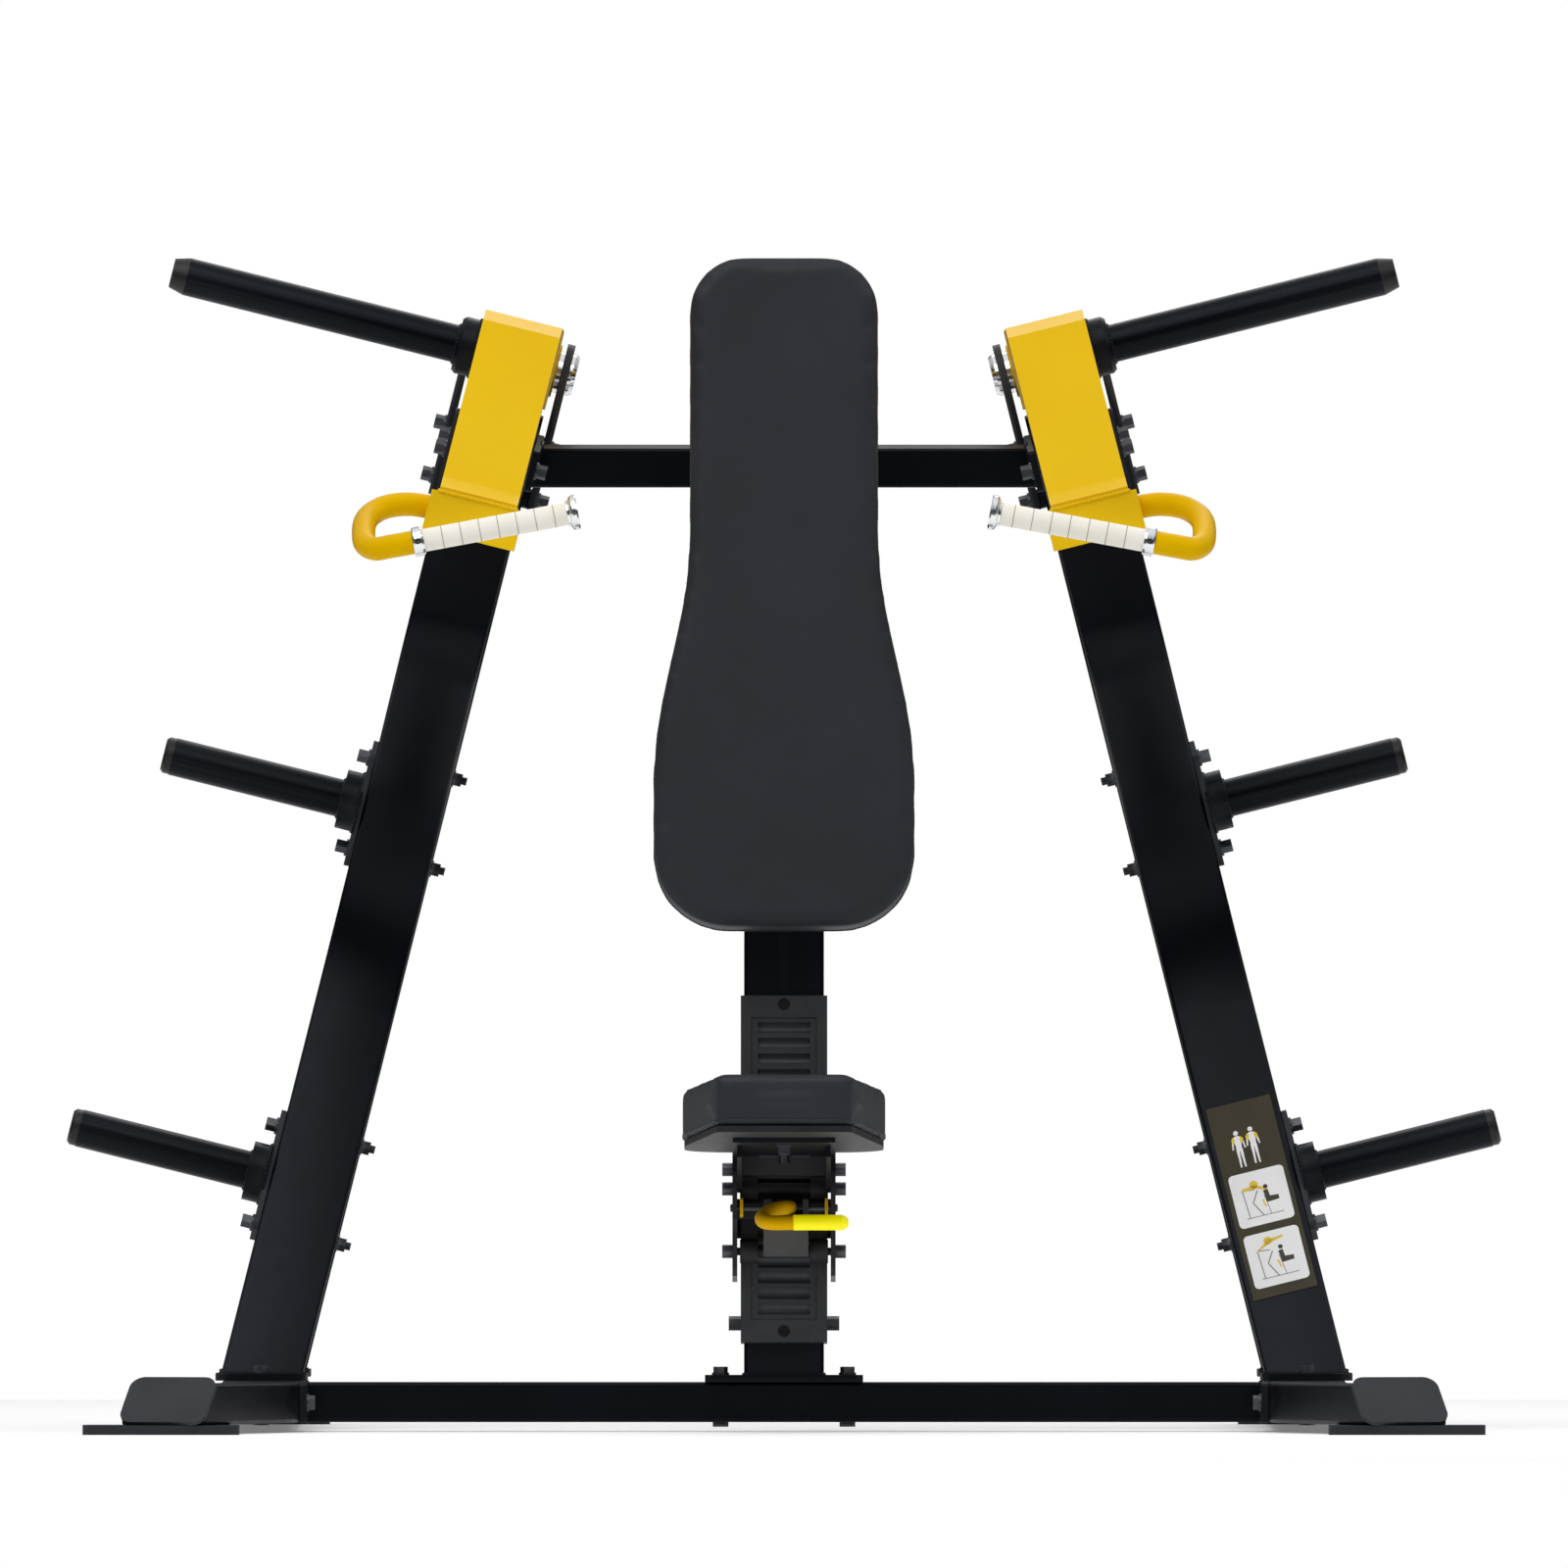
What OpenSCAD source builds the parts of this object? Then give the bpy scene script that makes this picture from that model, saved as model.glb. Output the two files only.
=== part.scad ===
// Shoulder press machine, plate loaded, with two press arms and an adjustable seat.
// X is to the right, Y to the rear and Z up. The origin is on the floor, under the middle
// of the machine, so the user sits facing -Y.

/* [Side frames] */
// Lean of each side frame towards the middle, in degrees
lean = 14; // [10:0.5:16]
// Half distance between the side frames, at floor level
lean_foot_x = 683.2; // [660:1:710]
// Long side of the main rectangular tube
tube_w = 101.6; // [90:0.1:110]
// Short side of the main rectangular tube
tube_d = 50.8; // [45:0.1:55]
// Wall of the main tubes
wall = 3; // [2:0.5:4]
// Outer corner radius of the tubes
corner_r = 5; // [3:0.5:8]
// Height of the rails above the floor
rail_z = 12; // [8:1:20]

/* [Base] */
// Rear end of the rails
rail_rear_y = 787; // [760:1:820]
// Place where the rails turn outwards
rail_bend_y = -425; // [-450:1:-410]
// Angle of the splayed front of the rails
splay = 20; // [10:1:25]
// Length of the splayed front of the rails
splay_l = 365; // [300:1:380]
// Depth position of the lower crossbeam and seat post foot
lower_beam_y = -300; // [-320:1:-280]

/* [Press arms] */
// Height of the arm pivot, measured up the leaning side plane
pivot_s = 1406.6; // [1400:0.1:1415]
// Depth position of the arm pivot
pivot_y = 470; // [455:1:480]
// Distance from the pivot forward to the weight horn
horn_reach = 664; // [640:1:680]
// Diameter of the plate horns
horn_d = 48.3; // [48:0.1:50]
// Length of the weight horn from its collar to the end cap
arm_horn_l = 354; // [300:1:360]
// Length of a storage horn from its collar to its plug
store_horn_l = 222; // [180:1:240]

/* [Seat] */
// Backwards lean of the seat post, in degrees
post_lean = 6.5; // [5:0.5:8]
// Width of the seat pad at its widest
seat_w = 261; // [240:1:280]
// Thickness of the seat pad
seat_t = 65; // [50:1:70]
// Thickness of the back pad
back_t = 62; // [50:1:70]

/* [Hidden] */
$fn = 48;
far = 3000;
black = [0.05, 0.06, 0.08];
grey = [0.22, 0.23, 0.25];
yellow = [0.89, 0.73, 0.02];

// Rails
rail_x = 666;
rail_top = rail_z + tube_d;
flange_t = 9;
post_foot_z = rail_top + flange_t;

// Front post, from its foot up to the top beam
front_foot_y = -15;
front_low_tilt = 25;
front_up_tilt = 50;
knee_s = 660;
knee_r = 280;
neck_r = 90;
neck_s = 1000;
foot_drop = 60;

// Rear post
rear_foot_y = 575;
rear_tilt = 5;
rear_top_s = 1345;

// Top beam, which slopes down to the front
beam_tilt = 6.5;
cross_y = 220;
cross_s = 1284.2;
beam_front_y = -200;
flange_l = 201;
flange_bolt = 80.6;
cross_z = 1229.5;
fork_gap = 118;
fork_t = 10;
gusset_t = 8;

// Horns
collar_d = 76;
store_s = [809, 320];
cap_l = 20;

// Seat
post_top = 1240;
ladder_w = 110;
ladder_t = 14;
carriage_x = 59.4;
carriage_t = 6.2;

// A rectangle with round corners, w by d
module round_rect(w, d, r) {
    square([w - 2 * r, d], center = true);
    square([w, d - 2 * r], center = true);
    for (x = [-1, 1], y = [-1, 1])
        translate([x * (w / 2 - r), y * (d / 2 - r)]) circle(r);
}

// The cross-section of a tube
module tube_profile(w, d) {
    difference() {
        round_rect(w, d, corner_r);
        round_rect(w - 2 * wall, d - 2 * wall, corner_r - wall / 2);
    }
}

// A straight hollow tube of length l along +Z
module rect_tube(w, d, l, t = wall, r = corner_r) {
    difference() {
        linear_extrude(l) round_rect(w, d, r);
        translate([0, 0, -1]) linear_extrude(l + 2) round_rect(w - 2 * t, d - 2 * t, r - t / 2);
    }
}

// The space that the right (side = 1) or left (side = -1) leaning frame is drawn in.
// There +X points outwards, +Y to the rear and +Z up the leaning plane.
module leaning(side) {
    mirror([side < 0 ? 1 : 0, 0, 0])
        translate([lean_foot_x, 0, 0]) rotate([0, -lean, 0]) children();
}

// A piece on the right, or mirrored to the left
module on_side(side) {
    mirror([side < 0 ? 1 : 0, 0, 0]) children();
}

// A plate in the side plane, t thick outwards from x, w deep and h tall
module side_plate(x, t, w, h, r) {
    translate([x, 0, 0]) rotate([90, 0, 90]) linear_extrude(t) round_rect(w, h, r);
}

// A hexagon bolt head or nut on a washer, pointing along +Z from its seat
module hex_end(af = 17, h = 11) {
    cylinder(h = 3, d = af + 6, $fn = 32);
    translate([0, 0, 2.5]) cylinder(h = h, d = af / cos(30), $fn = 6);
}

// Base rails: a straight tube that bends outwards at the front
rail_bend_r = 220;
rail_bend_l = rail_bend_r * tan(splay / 2);
module base_rail_run() {
    translate([rail_x, rail_rear_y, rail_z + tube_d / 2]) rotate([90, 0, 0])
        linear_extrude(rail_rear_y - rail_bend_y - rail_bend_l) tube_profile(tube_w, tube_d);
    translate([rail_x + rail_bend_r, rail_bend_y + rail_bend_l, rail_z + tube_d / 2])
        rotate([0, 0, 180]) rotate_extrude(angle = splay, $fn = 96)
        translate([rail_bend_r, 0]) tube_profile(tube_w, tube_d);
    translate([rail_x, rail_bend_y, rail_z + tube_d / 2]) rotate([90, 0, splay])
        translate([0, 0, rail_bend_l]) linear_extrude(splay_l) tube_profile(tube_w, tube_d);
}

// The place of the front end of a splayed rail
module nose_place() {
    translate([rail_x, rail_bend_y, rail_z]) rotate([0, 0, splay]) translate([0, -splay_l, 0])
        children();
}

nose_lean = 45;
nose_w = tube_w + 14;
nose_t = 6;
nose_h = 80;
module nose_cut() {
    translate([-far / 2, -far, -far / 2]) cube([far, far, far]);
}

module base_rail(side) {
    color(black) on_side(side) difference() {
        base_rail_run();
        nose_place() rotate([-nose_lean, 0, 0]) nose_cut();
        rail_holes();
    }
}

// Bolt holes through the rail, for the post feet and the crossbeam
module rail_holes() {
    for (y = [front_foot_y - flange_bolt, front_foot_y + flange_bolt,
              rear_foot_y - flange_bolt, rear_foot_y + flange_bolt])
        translate([rail_x, y, 0]) cylinder(h = 90, d = 13);
}

module nose_plates() {
    color(grey) for (side = [-1, 1]) on_side(side)
        nose_place() rotate([-nose_lean, 0, 0]) translate([-3.5, 0, nose_h / 2])
        rotate([90, 0, 0]) linear_extrude(nose_t) round_rect(nose_w, nose_h, 18);
}

// Front and rear floor plates with two anchor holes each
front_plate = [198, 120];
rear_plate = [164, 120];
anchor_r = 7;
module foot_plate(size) {
    difference() {
        linear_extrude(rail_z) round_rect(size[0], size[1], 8);
        for (x = [-1, 1]) translate([x * (size[0] / 2 - 18), 0, -1])
            cylinder(h = rail_z + 2, r = anchor_r);
    }
}
module foot_plates() {
    color(black) for (side = [-1, 1]) on_side(side) {
        translate([788, -722, 0]) foot_plate(front_plate);
        translate([rail_x, rail_rear_y - 62, 0]) foot_plate(rear_plate);
    }
}

module lower_crossbeam() {
    half = rail_x - tube_w / 2;
    color(black) translate([0, lower_beam_y, rail_z + tube_d / 2]) {
        difference() {
            rotate([0, 90, 0]) translate([0, 0, -half + flange_t])
                rect_tube(tube_d, tube_d, 2 * (half - flange_t));
            for (x = [-1, 1]) translate([x * flange_bolt, 0, -50]) cylinder(h = 100, d = 13);
        }
        for (side = [-1, 1]) on_side(side) difference() {
            translate([half - flange_t, 0, 0]) rotate([90, 0, 90])
                linear_extrude(flange_t) round_rect(flange_l, tube_d, 6);
            for (y = [-1, 1]) translate([half - 20, y * flange_bolt, 0]) rotate([0, 90, 0])
                cylinder(h = 40, d = 13);
        }
    }
}

// Front post: leans back from its foot to a knee, forward to the neck, and then stands upright
low_s = knee_s - knee_r * sin(front_low_tilt);
low_y = front_foot_y + (low_s - post_foot_z) * tan(front_low_tilt);
up_s = knee_s + knee_r * sin(front_up_tilt);
knee_y = low_y + knee_r * (1 - cos(front_low_tilt));
up_y = knee_y - knee_r * (1 - cos(front_up_tilt));
neck_y = up_y - (neck_s - up_s) * tan(front_up_tilt);
neck_top_s = neck_s + neck_r * sin(front_up_tilt);
front_top_y = neck_y - neck_r * (1 - cos(front_up_tilt));

// The middle line of the front post as [y, s, tilt], from its foot to the underside of the beam
post_line = concat(
    [[front_foot_y, post_foot_z, -front_low_tilt]],
    [for (i = [0 : 20]) let (a = -front_low_tilt + (front_low_tilt + front_up_tilt) * i / 20)
        [knee_y - knee_r * (1 - cos(a)), knee_s + knee_r * sin(a), a]],
    [for (i = [0 : 12]) let (a = front_up_tilt * (1 - i / 12))
        [front_top_y + neck_r * (1 - cos(a)), neck_top_s - neck_r * sin(a), a]],
    [[front_top_y, neck_top_s + 60, 0]]);

// The corners of a w by d rectangle with round corners, as a list of points
function round_points(w, d, r) = [for (q = [0 : 3], i = [0 : 3]) let (a = 90 * q + 30 * i)
    [((q == 0 || q == 3) ? 1 : -1) * (w / 2 - r) + r * cos(a),
     (q < 2 ? 1 : -1) * (d / 2 - r) + r * sin(a)]];

// One ring of the post; the first is cut level at the foot and the last along the beam
function post_ring(i, pts) = let (p = post_line[i], n = len(post_line)) [for (q = pts)
    let (y = p[0] + q[1] * cos(p[2]), s = p[1] + q[1] * sin(p[2]),
         foot_s = (post_foot_z - q[0] * sin(lean)) / cos(lean),
         beam_s = cross_s + ((y - cross_y) * sin(beam_tilt) - tube_d / 2) / cos(beam_tilt))
    i == 0 ? [q[0], y - (foot_s - s) * tan(p[2]), foot_s] :
    i == n - 1 ? [q[0], y, beam_s] : [q[0], y, s]];

module front_post_tube() {
    outer = round_points(tube_w, tube_d, corner_r);
    inner = round_points(tube_w - 2 * wall, tube_d - 2 * wall, corner_r - wall / 2);
    m = len(outer);
    n = len(post_line);
    rings = [for (i = [0 : n - 1]) each concat(post_ring(i, outer), post_ring(i, inner))];
    skin = [for (i = [0 : n - 2], k = [0 : m - 1]) let (q = (k + 1) % m, a = 2 * m * i, b = a + 2 * m)
        each [[a + k, b + k, b + q, a + q], [a + m + k, a + m + q, b + m + q, b + m + k]]];
    ends = [for (k = [0 : m - 1]) let (q = (k + 1) % m, b = 2 * m * (n - 1))
        each [[k, q, m + q, m + k], [b + k, b + m + k, b + m + q, b + q]]];
    polyhedron(rings, concat(skin, ends));
}

module below_z(z) {
    translate([-far / 2, -far / 2, z - far]) cube([far, far, far]);
}

// A foot flange on a rail with its two bolt holes
module foot_flange(x, y) {
    translate([x, y, rail_top]) difference() {
        linear_extrude(flange_t) round_rect(117, flange_l, 16);
        for (k = [-1, 1]) translate([0, k * flange_bolt, -1]) cylinder(h = 20, d = 13);
    }
}

module front_post(side) {
    color(black) leaning(side) front_post_tube();
}
module front_post_feet() {
    color(black) for (side = [-1, 1]) on_side(side) foot_flange(rail_x, front_foot_y);
}

module rear_post_bar(w, d, r, top) {
    translate([0, rear_foot_y, post_foot_z]) rotate([rear_tilt, 0, 0]) translate([0, 0, -foot_drop])
        linear_extrude((top - post_foot_z) / cos(rear_tilt) + foot_drop) round_rect(w, d, r);
}
module rear_post(side) {
    color(black) {
        difference() {
            leaning(side) difference() {
                rear_post_bar(tube_w, tube_d, corner_r, rear_top_s);
                rear_post_bar(tube_w - 2 * wall, tube_d - 2 * wall, corner_r - 1.5, rear_top_s - wall);
            }
            below_z(post_foot_z);
        }
        on_side(side) foot_flange(rail_x, rear_foot_y);
    }
}

// The depth of the rear post's middle at a height in the side plane
function rear_y(s) = rear_foot_y - (s - post_foot_z) * tan(rear_tilt);

module top_beam_solid(w, d, extra) {
    l = (rear_y(cross_s) - beam_front_y) / cos(beam_tilt) + extra;
    translate([0, cross_y, cross_s]) rotate([beam_tilt, 0, 0])
        translate([0, (cross_y - beam_front_y) / -cos(beam_tilt) - extra / 2, 0]) rotate([-90, 0, 0])
        linear_extrude(l) round_rect(w, d, corner_r * w / tube_w);
}
module top_beam(side) {
    color(black) leaning(side) difference() {
        top_beam_solid(tube_w, tube_d, 0);
        top_beam_solid(tube_w - 2 * wall, tube_d - 2 * wall, 40);
        translate([0, rear_foot_y, post_foot_z]) rotate([rear_tilt, 0, 0])
            translate([-far / 2, -tube_d / 2, -far / 2]) cube([far, far, far]);
    }
}

// Short level brace between the knee of the front post and the rear post
brace_s = 610;
module mid_braces() {
    color(black) for (side = [-1, 1]) leaning(side) {
        front = knee_y + tube_d / 2 - 12;
        back = rear_y(brace_s) - tube_d / 2 + 8;
        difference() {
            translate([0, front, brace_s]) rotate([-90, 0, 0]) rect_tube(tube_d, tube_d, back - front);
            translate([0, knee_y - knee_r, knee_s]) rotate([0, 90, 0])
                cylinder(h = 2 * tube_w, r = knee_r + tube_d / 2, center = true, $fn = 96);
            rear_post_bar(tube_w, tube_d, corner_r, rear_top_s);
        }
    }
}

module gusset_plates() {
    color(grey) for (side = [-1, 1]) leaning(side) difference() {
        translate([0, cross_y, 1270]) side_plate(tube_w / 2, gusset_t, 230, 118, 8);
        for (k = [-1, 1]) cross_bolt_place(k) rotate([0, 90, 0]) cylinder(h = 200, d = 13, center = true);
    }
}

// Where the two bolts of an upper crossbeam flange pass, in the leaning frame
module cross_bolt_place(k) {
    translate([0, cross_y, cross_s]) rotate([beam_tilt, 0, 0]) translate([0, k * flange_bolt, 0])
        children();
}

// Upper crossbeam with a flange at each end, and the link tube that carries the seat post
cross_cut_x = tube_w / 2 + gusset_t;
link_z = (cross_y - lower_beam_y) * sin(post_lean) + (cross_z - post_foot_z) * cos(post_lean);
link_l = (cross_y - lower_beam_y) * cos(post_lean) - (cross_z - post_foot_z) * sin(post_lean) - tube_d;
module upper_crossbeam() {
    color(black) {
        difference() {
            translate([-360, cross_y, cross_z]) rotate([beam_tilt, 0, 0]) rotate([0, 90, 0])
                rect_tube(tube_d, tube_d, 720);
            for (side = [-1, 1]) leaning(side)
                translate([gusset_t / 2 - cross_cut_x, -far / 2, -far / 2]) cube([far, far, far]);
        }
        for (side = [-1, 1]) leaning(side) difference() {
            translate([0, cross_y, cross_s]) rotate([beam_tilt, 0, 0])
                side_plate(-cross_cut_x, gusset_t, flange_l, 54, 6);
            for (k = [-1, 1]) cross_bolt_place(k) rotate([0, 90, 0])
                cylinder(h = 200, d = 13, center = true);
        }
        post_space() translate([0, tube_d / 2, link_z]) rotate([-90, 0, 0])
            rect_tube(tube_w - 6, tube_d - 8, link_l + 16);
    }
}

// The leaning seat post is drawn with +Z along the post and its front towards -Y
module post_space() {
    translate([0, lower_beam_y, post_foot_z]) rotate([-post_lean, 0, 0]) children();
}

module seat_post() {
    color(black) {
        difference() {
            post_space() difference() {
                translate([0, 0, -20]) linear_extrude(post_top + 20) round_rect(tube_w, tube_d, corner_r);
                translate([0, 0, -21]) linear_extrude(post_top + 21 - wall)
                    round_rect(tube_w - 2 * wall, tube_d - 2 * wall, corner_r - 1);
                for (z = ladder_ends) translate([0, 0, z]) rotate([90, 0, 0]) cylinder(h = 60, d = 6);
                translate([0, 0, stop_bolt_z]) rotate([0, 90, 0]) cylinder(h = 200, d = 12, center = true);
            }
            below_z(post_foot_z);
        }
        translate([0, lower_beam_y, rail_top]) difference() {
            linear_extrude(flange_t) round_rect(flange_l, 60, 8);
            for (x = [-1, 1]) translate([x * flange_bolt, 0, -1]) cylinder(h = 20, d = 13);
        }
    }
}

// Ladder: the ribbed plastic guide on the front of the seat post
ladder_z0 = 38;
ladder_z1 = 481;
ladder_l = ladder_z1 - ladder_z0;
ladder_ends = [ladder_z0 + 14, ladder_z1 - 11];
stop_bolt_z = 66;
rib_pitch = 20;
rib_n = 18;
ladder_wing = (ladder_w - tube_w) / 2;
module seat_ladder() {
    color(grey) post_space() translate([0, -tube_d / 2, 0]) difference() {
        union() {
            translate([-ladder_w / 2, -ladder_t, ladder_z0]) cube([ladder_w, ladder_t, ladder_l]);
            for (x = [-1, 1])
                translate([x * (ladder_w + tube_w) / 4 - ladder_wing / 2, -ladder_t, ladder_z0])
                cube([ladder_wing, ladder_t + 10, ladder_l]);
        }
        translate([-42, -ladder_t - 1, ladder_z0 + 28]) cube([84, 3, ladder_l - 56]);
        for (i = [0 : rib_n]) translate([0, -ladder_t - 2, ladder_z0 + 42 + i * rib_pitch])
            rotate([0, 90, 0]) cylinder(h = 66, d = 16, center = true);
        for (z = ladder_ends) translate([0, -ladder_t - 1, z]) rotate([-90, 0, 0]) {
            cylinder(h = 9, d = 15);
            cylinder(h = 30, d = 6);
        }
    }
}

// Back pad, drawn in post space: its outline is a waisted shape, narrow at the shoulders
pad_base = 556;
pad_h = 861;
back_board_t = 15;
back_board_y = -tube_d / 2 - 40;
module back_outline(shrink = 0) {
    r_top = 70;
    r_low = 95;
    w_top = 243 / 2;
    w_low = 334 / 2;
    offset(delta = -shrink) waisted_outline(w_top, w_low, r_top, r_low);
}

// Half width of the back pad at a height above its lower end
function back_half(z) =
    let (t = min(max((z - 200) / 300, 0), 1)) 167 - 45.5 * (t * t * (3 - 2 * t));

module waisted_outline(w_top, w_low, r_top, r_low) {
    steps = 10;
    low = [for (i = [0 : steps]) let (a = 90 * i / steps)
        [w_low - r_low + r_low * sin(a), r_low - r_low * cos(a)]];
    side = [for (i = [1 : 14]) let (z = 180 + 24 * i) [back_half(z), z]];
    top = [for (i = [0 : steps]) let (a = 90 * i / steps)
        [w_top - r_top + r_top * cos(a), pad_h - r_top + r_top * sin(a)]];
    right = concat(low, side, top);
    polygon(concat(right, [for (i = [len(right) - 1 : -1 : 0]) [-right[i][0], right[i][1]]]));
}

module back_pad_place() {
    post_space() translate([0, back_board_y, pad_base]) rotate([90, 0, 0]) children();
}
module back_board() {
    color(black) back_pad_place() difference() {
        linear_extrude(back_board_t) back_outline(10);
        for (z = back_bracket_z, x = [-1, 1]) translate([x * 60, z, -1]) cylinder(h = 10, d = 8.5);
    }
}
module back_pad() {
    color("#2d3035") back_pad_place() translate([0, 0, back_board_t])
        linear_extrude(back_t) back_outline();
}

back_bracket_z = [120, 560];
module back_brackets() {
    color(black) for (z = back_bracket_z) post_space() translate([0, 0, pad_base + z]) {
        difference() {
            translate([-75, back_board_y, -25]) cube([150, 6, 50]);
            for (x = [-1, 1]) translate([x * 60, back_board_y - 1, 0]) rotate([-90, 0, 0])
                cylinder(h = 10, d = 8.5);
        }
        translate([0, back_board_y + 6, 0]) rotate([-90, 0, 0])
            rect_tube(60, 40, -tube_d / 2 - back_board_y - 6);
    }
}

// Storage horns, two on each front post. They stand out from the post's outer side.
function front_y(s) =
    s > up_s ? up_y - (s - up_s) * tan(front_up_tilt) :
    s > low_s ? knee_y - knee_r + sqrt(knee_r * knee_r - (s - knee_s) * (s - knee_s)) :
    front_foot_y + (s - post_foot_z) * tan(front_low_tilt);
function front_tilt(s) =
    s > up_s ? front_up_tilt : s > low_s ? asin((s - knee_s) / knee_r) : -front_low_tilt;

module store_place() {
    for (side = [-1, 1], s = store_s) leaning(side)
        translate([tube_w / 2, front_y(s), s]) rotate([front_tilt(s), 0, 0]) children();
}
store_bolt = 70;
module storage_flanges() {
    color(grey) store_place() difference() {
        side_plate(0, 7, 46, 172, 8);
        for (k = [-1, 1]) translate([-1, 0, k * store_bolt]) rotate([0, 90, 0]) cylinder(h = 10, d = 11);
    }
}
module storage_horns() {
    color(black) store_place() translate([7, 0, 0]) rotate([0, 90, 0]) difference() {
        union() {
            cylinder(h = 23, d = collar_d);
            cylinder(h = 23 + store_horn_l, d = horn_d);
        }
        translate([0, 0, 3]) cylinder(h = store_horn_l + 22, d = horn_d - 7);
    }
}
module plug(d, l, bore) {
    rotate_extrude() polygon([
        [0, -14], [bore / 2, -14], [bore / 2, 0], [d / 2, 0], [d / 2, l - 4],
        [d / 2 - 4, l], [0, l]]);
}
module storage_plugs() {
    color("#17191c") store_place() translate([30 + store_horn_l, 0, 0]) rotate([0, 90, 0])
        plug(horn_d - 1.5, 12, horn_d - 7);
}
module horn_bolts() {
    color("#2b2e33") store_place() for (k = [-1, 1]) translate([0, 0, k * store_bolt]) {
        translate([7, 0, 0]) rotate([0, 90, 0]) hex_end(16, 13);
        translate([-tube_w, 0, 0]) rotate([0, -90, 0]) hex_end(16, 10);
        translate([-tube_w - 19, 0, 0]) rotate([0, 90, 0]) cylinder(h = tube_w + 27, d = 10);
    }
}

// Frame bolts: post feet, crossbeam ends, seat post foot, pivot forks and the ladder
fork_bolt_s = [1307.7, 1239.3];
module frame_bolts() {
    color("#33363b") {
        for (side = [-1, 1]) {
            on_side(side) for (y = [front_foot_y, rear_foot_y], k = [-1, 1])
                translate([rail_x, y + k * flange_bolt, 0]) {
                    translate([0, 0, post_foot_z]) hex_end(16, 8);
                    translate([0, 0, rail_z]) mirror([0, 0, 1]) cylinder(h = 6, d = 20, $fn = 6);
                    translate([0, 0, rail_z - 5]) cylinder(h = post_foot_z - rail_z + 8, d = 12);
                }
            on_side(side) for (k = [-1, 1])
                translate([rail_x - tube_w / 2 - flange_t, lower_beam_y + k * flange_bolt,
                           rail_z + tube_d / 2])
                    rotate([0, -90, 0]) { hex_end(16, 8); translate([0, 0, -14]) cylinder(h = 20, d = 12); }
            leaning(side) for (k = [-1, 1]) cross_bolt_place(k) through_bolt(cross_cut_x, cross_cut_x);
            leaning(side) for (s = fork_bolt_s) translate([0, rear_y(s), s])
                through_bolt(fork_gap / 2 + fork_t, fork_gap / 2 + fork_t);
            translate([side * flange_bolt, lower_beam_y, 0]) {
                translate([0, 0, post_foot_z]) hex_end(16, 8);
                translate([0, 0, rail_z]) mirror([0, 0, 1]) cylinder(h = 6, d = 20, $fn = 6);
                translate([0, 0, rail_z - 5]) cylinder(h = post_foot_z - rail_z + 8, d = 12);
            }
        }
        post_space() {
            for (z = ladder_ends) translate([0, -tube_d / 2 - ladder_t + 8, z]) rotate([90, 0, 0]) {
                cylinder(h = 5, d = 13);
                translate([0, 0, -14]) cylinder(h = 15, d = 5.8);
            }
            translate([0, 0, stop_bolt_z]) {
                rotate([0, 90, 0]) cylinder(h = tube_w + 4, d = 12, center = true);
                for (k = [-1, 1]) translate([k * tube_w / 2, 0, 0]) rotate([0, k * 90, 0])
                    hex_end(16, 17);
            }
        }
    }
}

// A bolt along X with its head at +a and its nut at -b
module through_bolt(a, b) {
    translate([a, 0, 0]) rotate([0, 90, 0]) hex_end(16, 12);
    translate([-b, 0, 0]) rotate([0, -90, 0]) hex_end(16, 12);
    translate([-b - 2, 0, 0]) rotate([0, 90, 0]) cylinder(h = a + b + 4, d = 12);
}

// Pivot fork: two plates on the rear post with spacers, and the arm axle between them
fork_w = 96;
fork_low_s = 1215;
module fork_plates() {
    color("#4a4d50") for (side = [-1, 1]) leaning(side) for (k = [-1, 1]) difference() {
        translate([k > 0 ? fork_gap / 2 : -fork_gap / 2 - fork_t, 0, 0]) rotate([90, 0, 90])
            linear_extrude(fork_t) {
                polygon([[rear_y(fork_low_s) - 30, fork_low_s], [rear_y(fork_low_s) + 30, fork_low_s],
                         [pivot_y + fork_w / 2, 1330], [pivot_y + 38, pivot_s],
                         [pivot_y - 38, pivot_s], [pivot_y - fork_w / 2, 1330]]);
                translate([pivot_y, pivot_s]) circle(38);
            }
        for (s = fork_bolt_s) translate([-100, rear_y(s), s]) rotate([0, 90, 0]) cylinder(h = 200, d = 13);
        translate([-100, pivot_y, pivot_s]) rotate([0, 90, 0]) cylinder(h = 200, d = axle_d);
    }
    color(grey) for (side = [-1, 1]) leaning(side) for (s = fork_bolt_s, k = [-1, 1])
        translate([k > 0 ? tube_w / 2 : -fork_gap / 2, rear_y(s), s]) rotate([0, 90, 0]) difference() {
            cylinder(h = (fork_gap - tube_w) / 2, d = 26);
            translate([0, 0, -1]) cylinder(h = 20, d = 13);
        }
}

axle_d = 25;
hub_d = 68;
hub_half = 53;
module arm_axles() {
    color("#9a9da0") for (side = [-1, 1]) leaning(side) translate([0, pivot_y, pivot_s])
        rotate([0, 90, 0]) cylinder(h = fork_gap + 2 * fork_t, d = axle_d, center = true);
}
module axle_caps() {
    color("silver") for (side = [-1, 1]) leaning(side) for (k = [-1, 1]) {
        translate([k * (fork_gap / 2 + fork_t), pivot_y, pivot_s]) rotate([0, k * 90, 0])
            rotate_extrude() polygon([[0, 0], [27, 0], [27, 4], [24, 9], [0, 9]]);
        translate([k * (hub_half + fork_gap / 2) / 2, pivot_y, pivot_s]) rotate([0, 90, 0]) difference() {
            cylinder(h = fork_gap / 2 - hub_half - 0.3, d = 54, center = true);
            cylinder(h = 20, d = axle_d, center = true);
        }
    }
}

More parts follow.
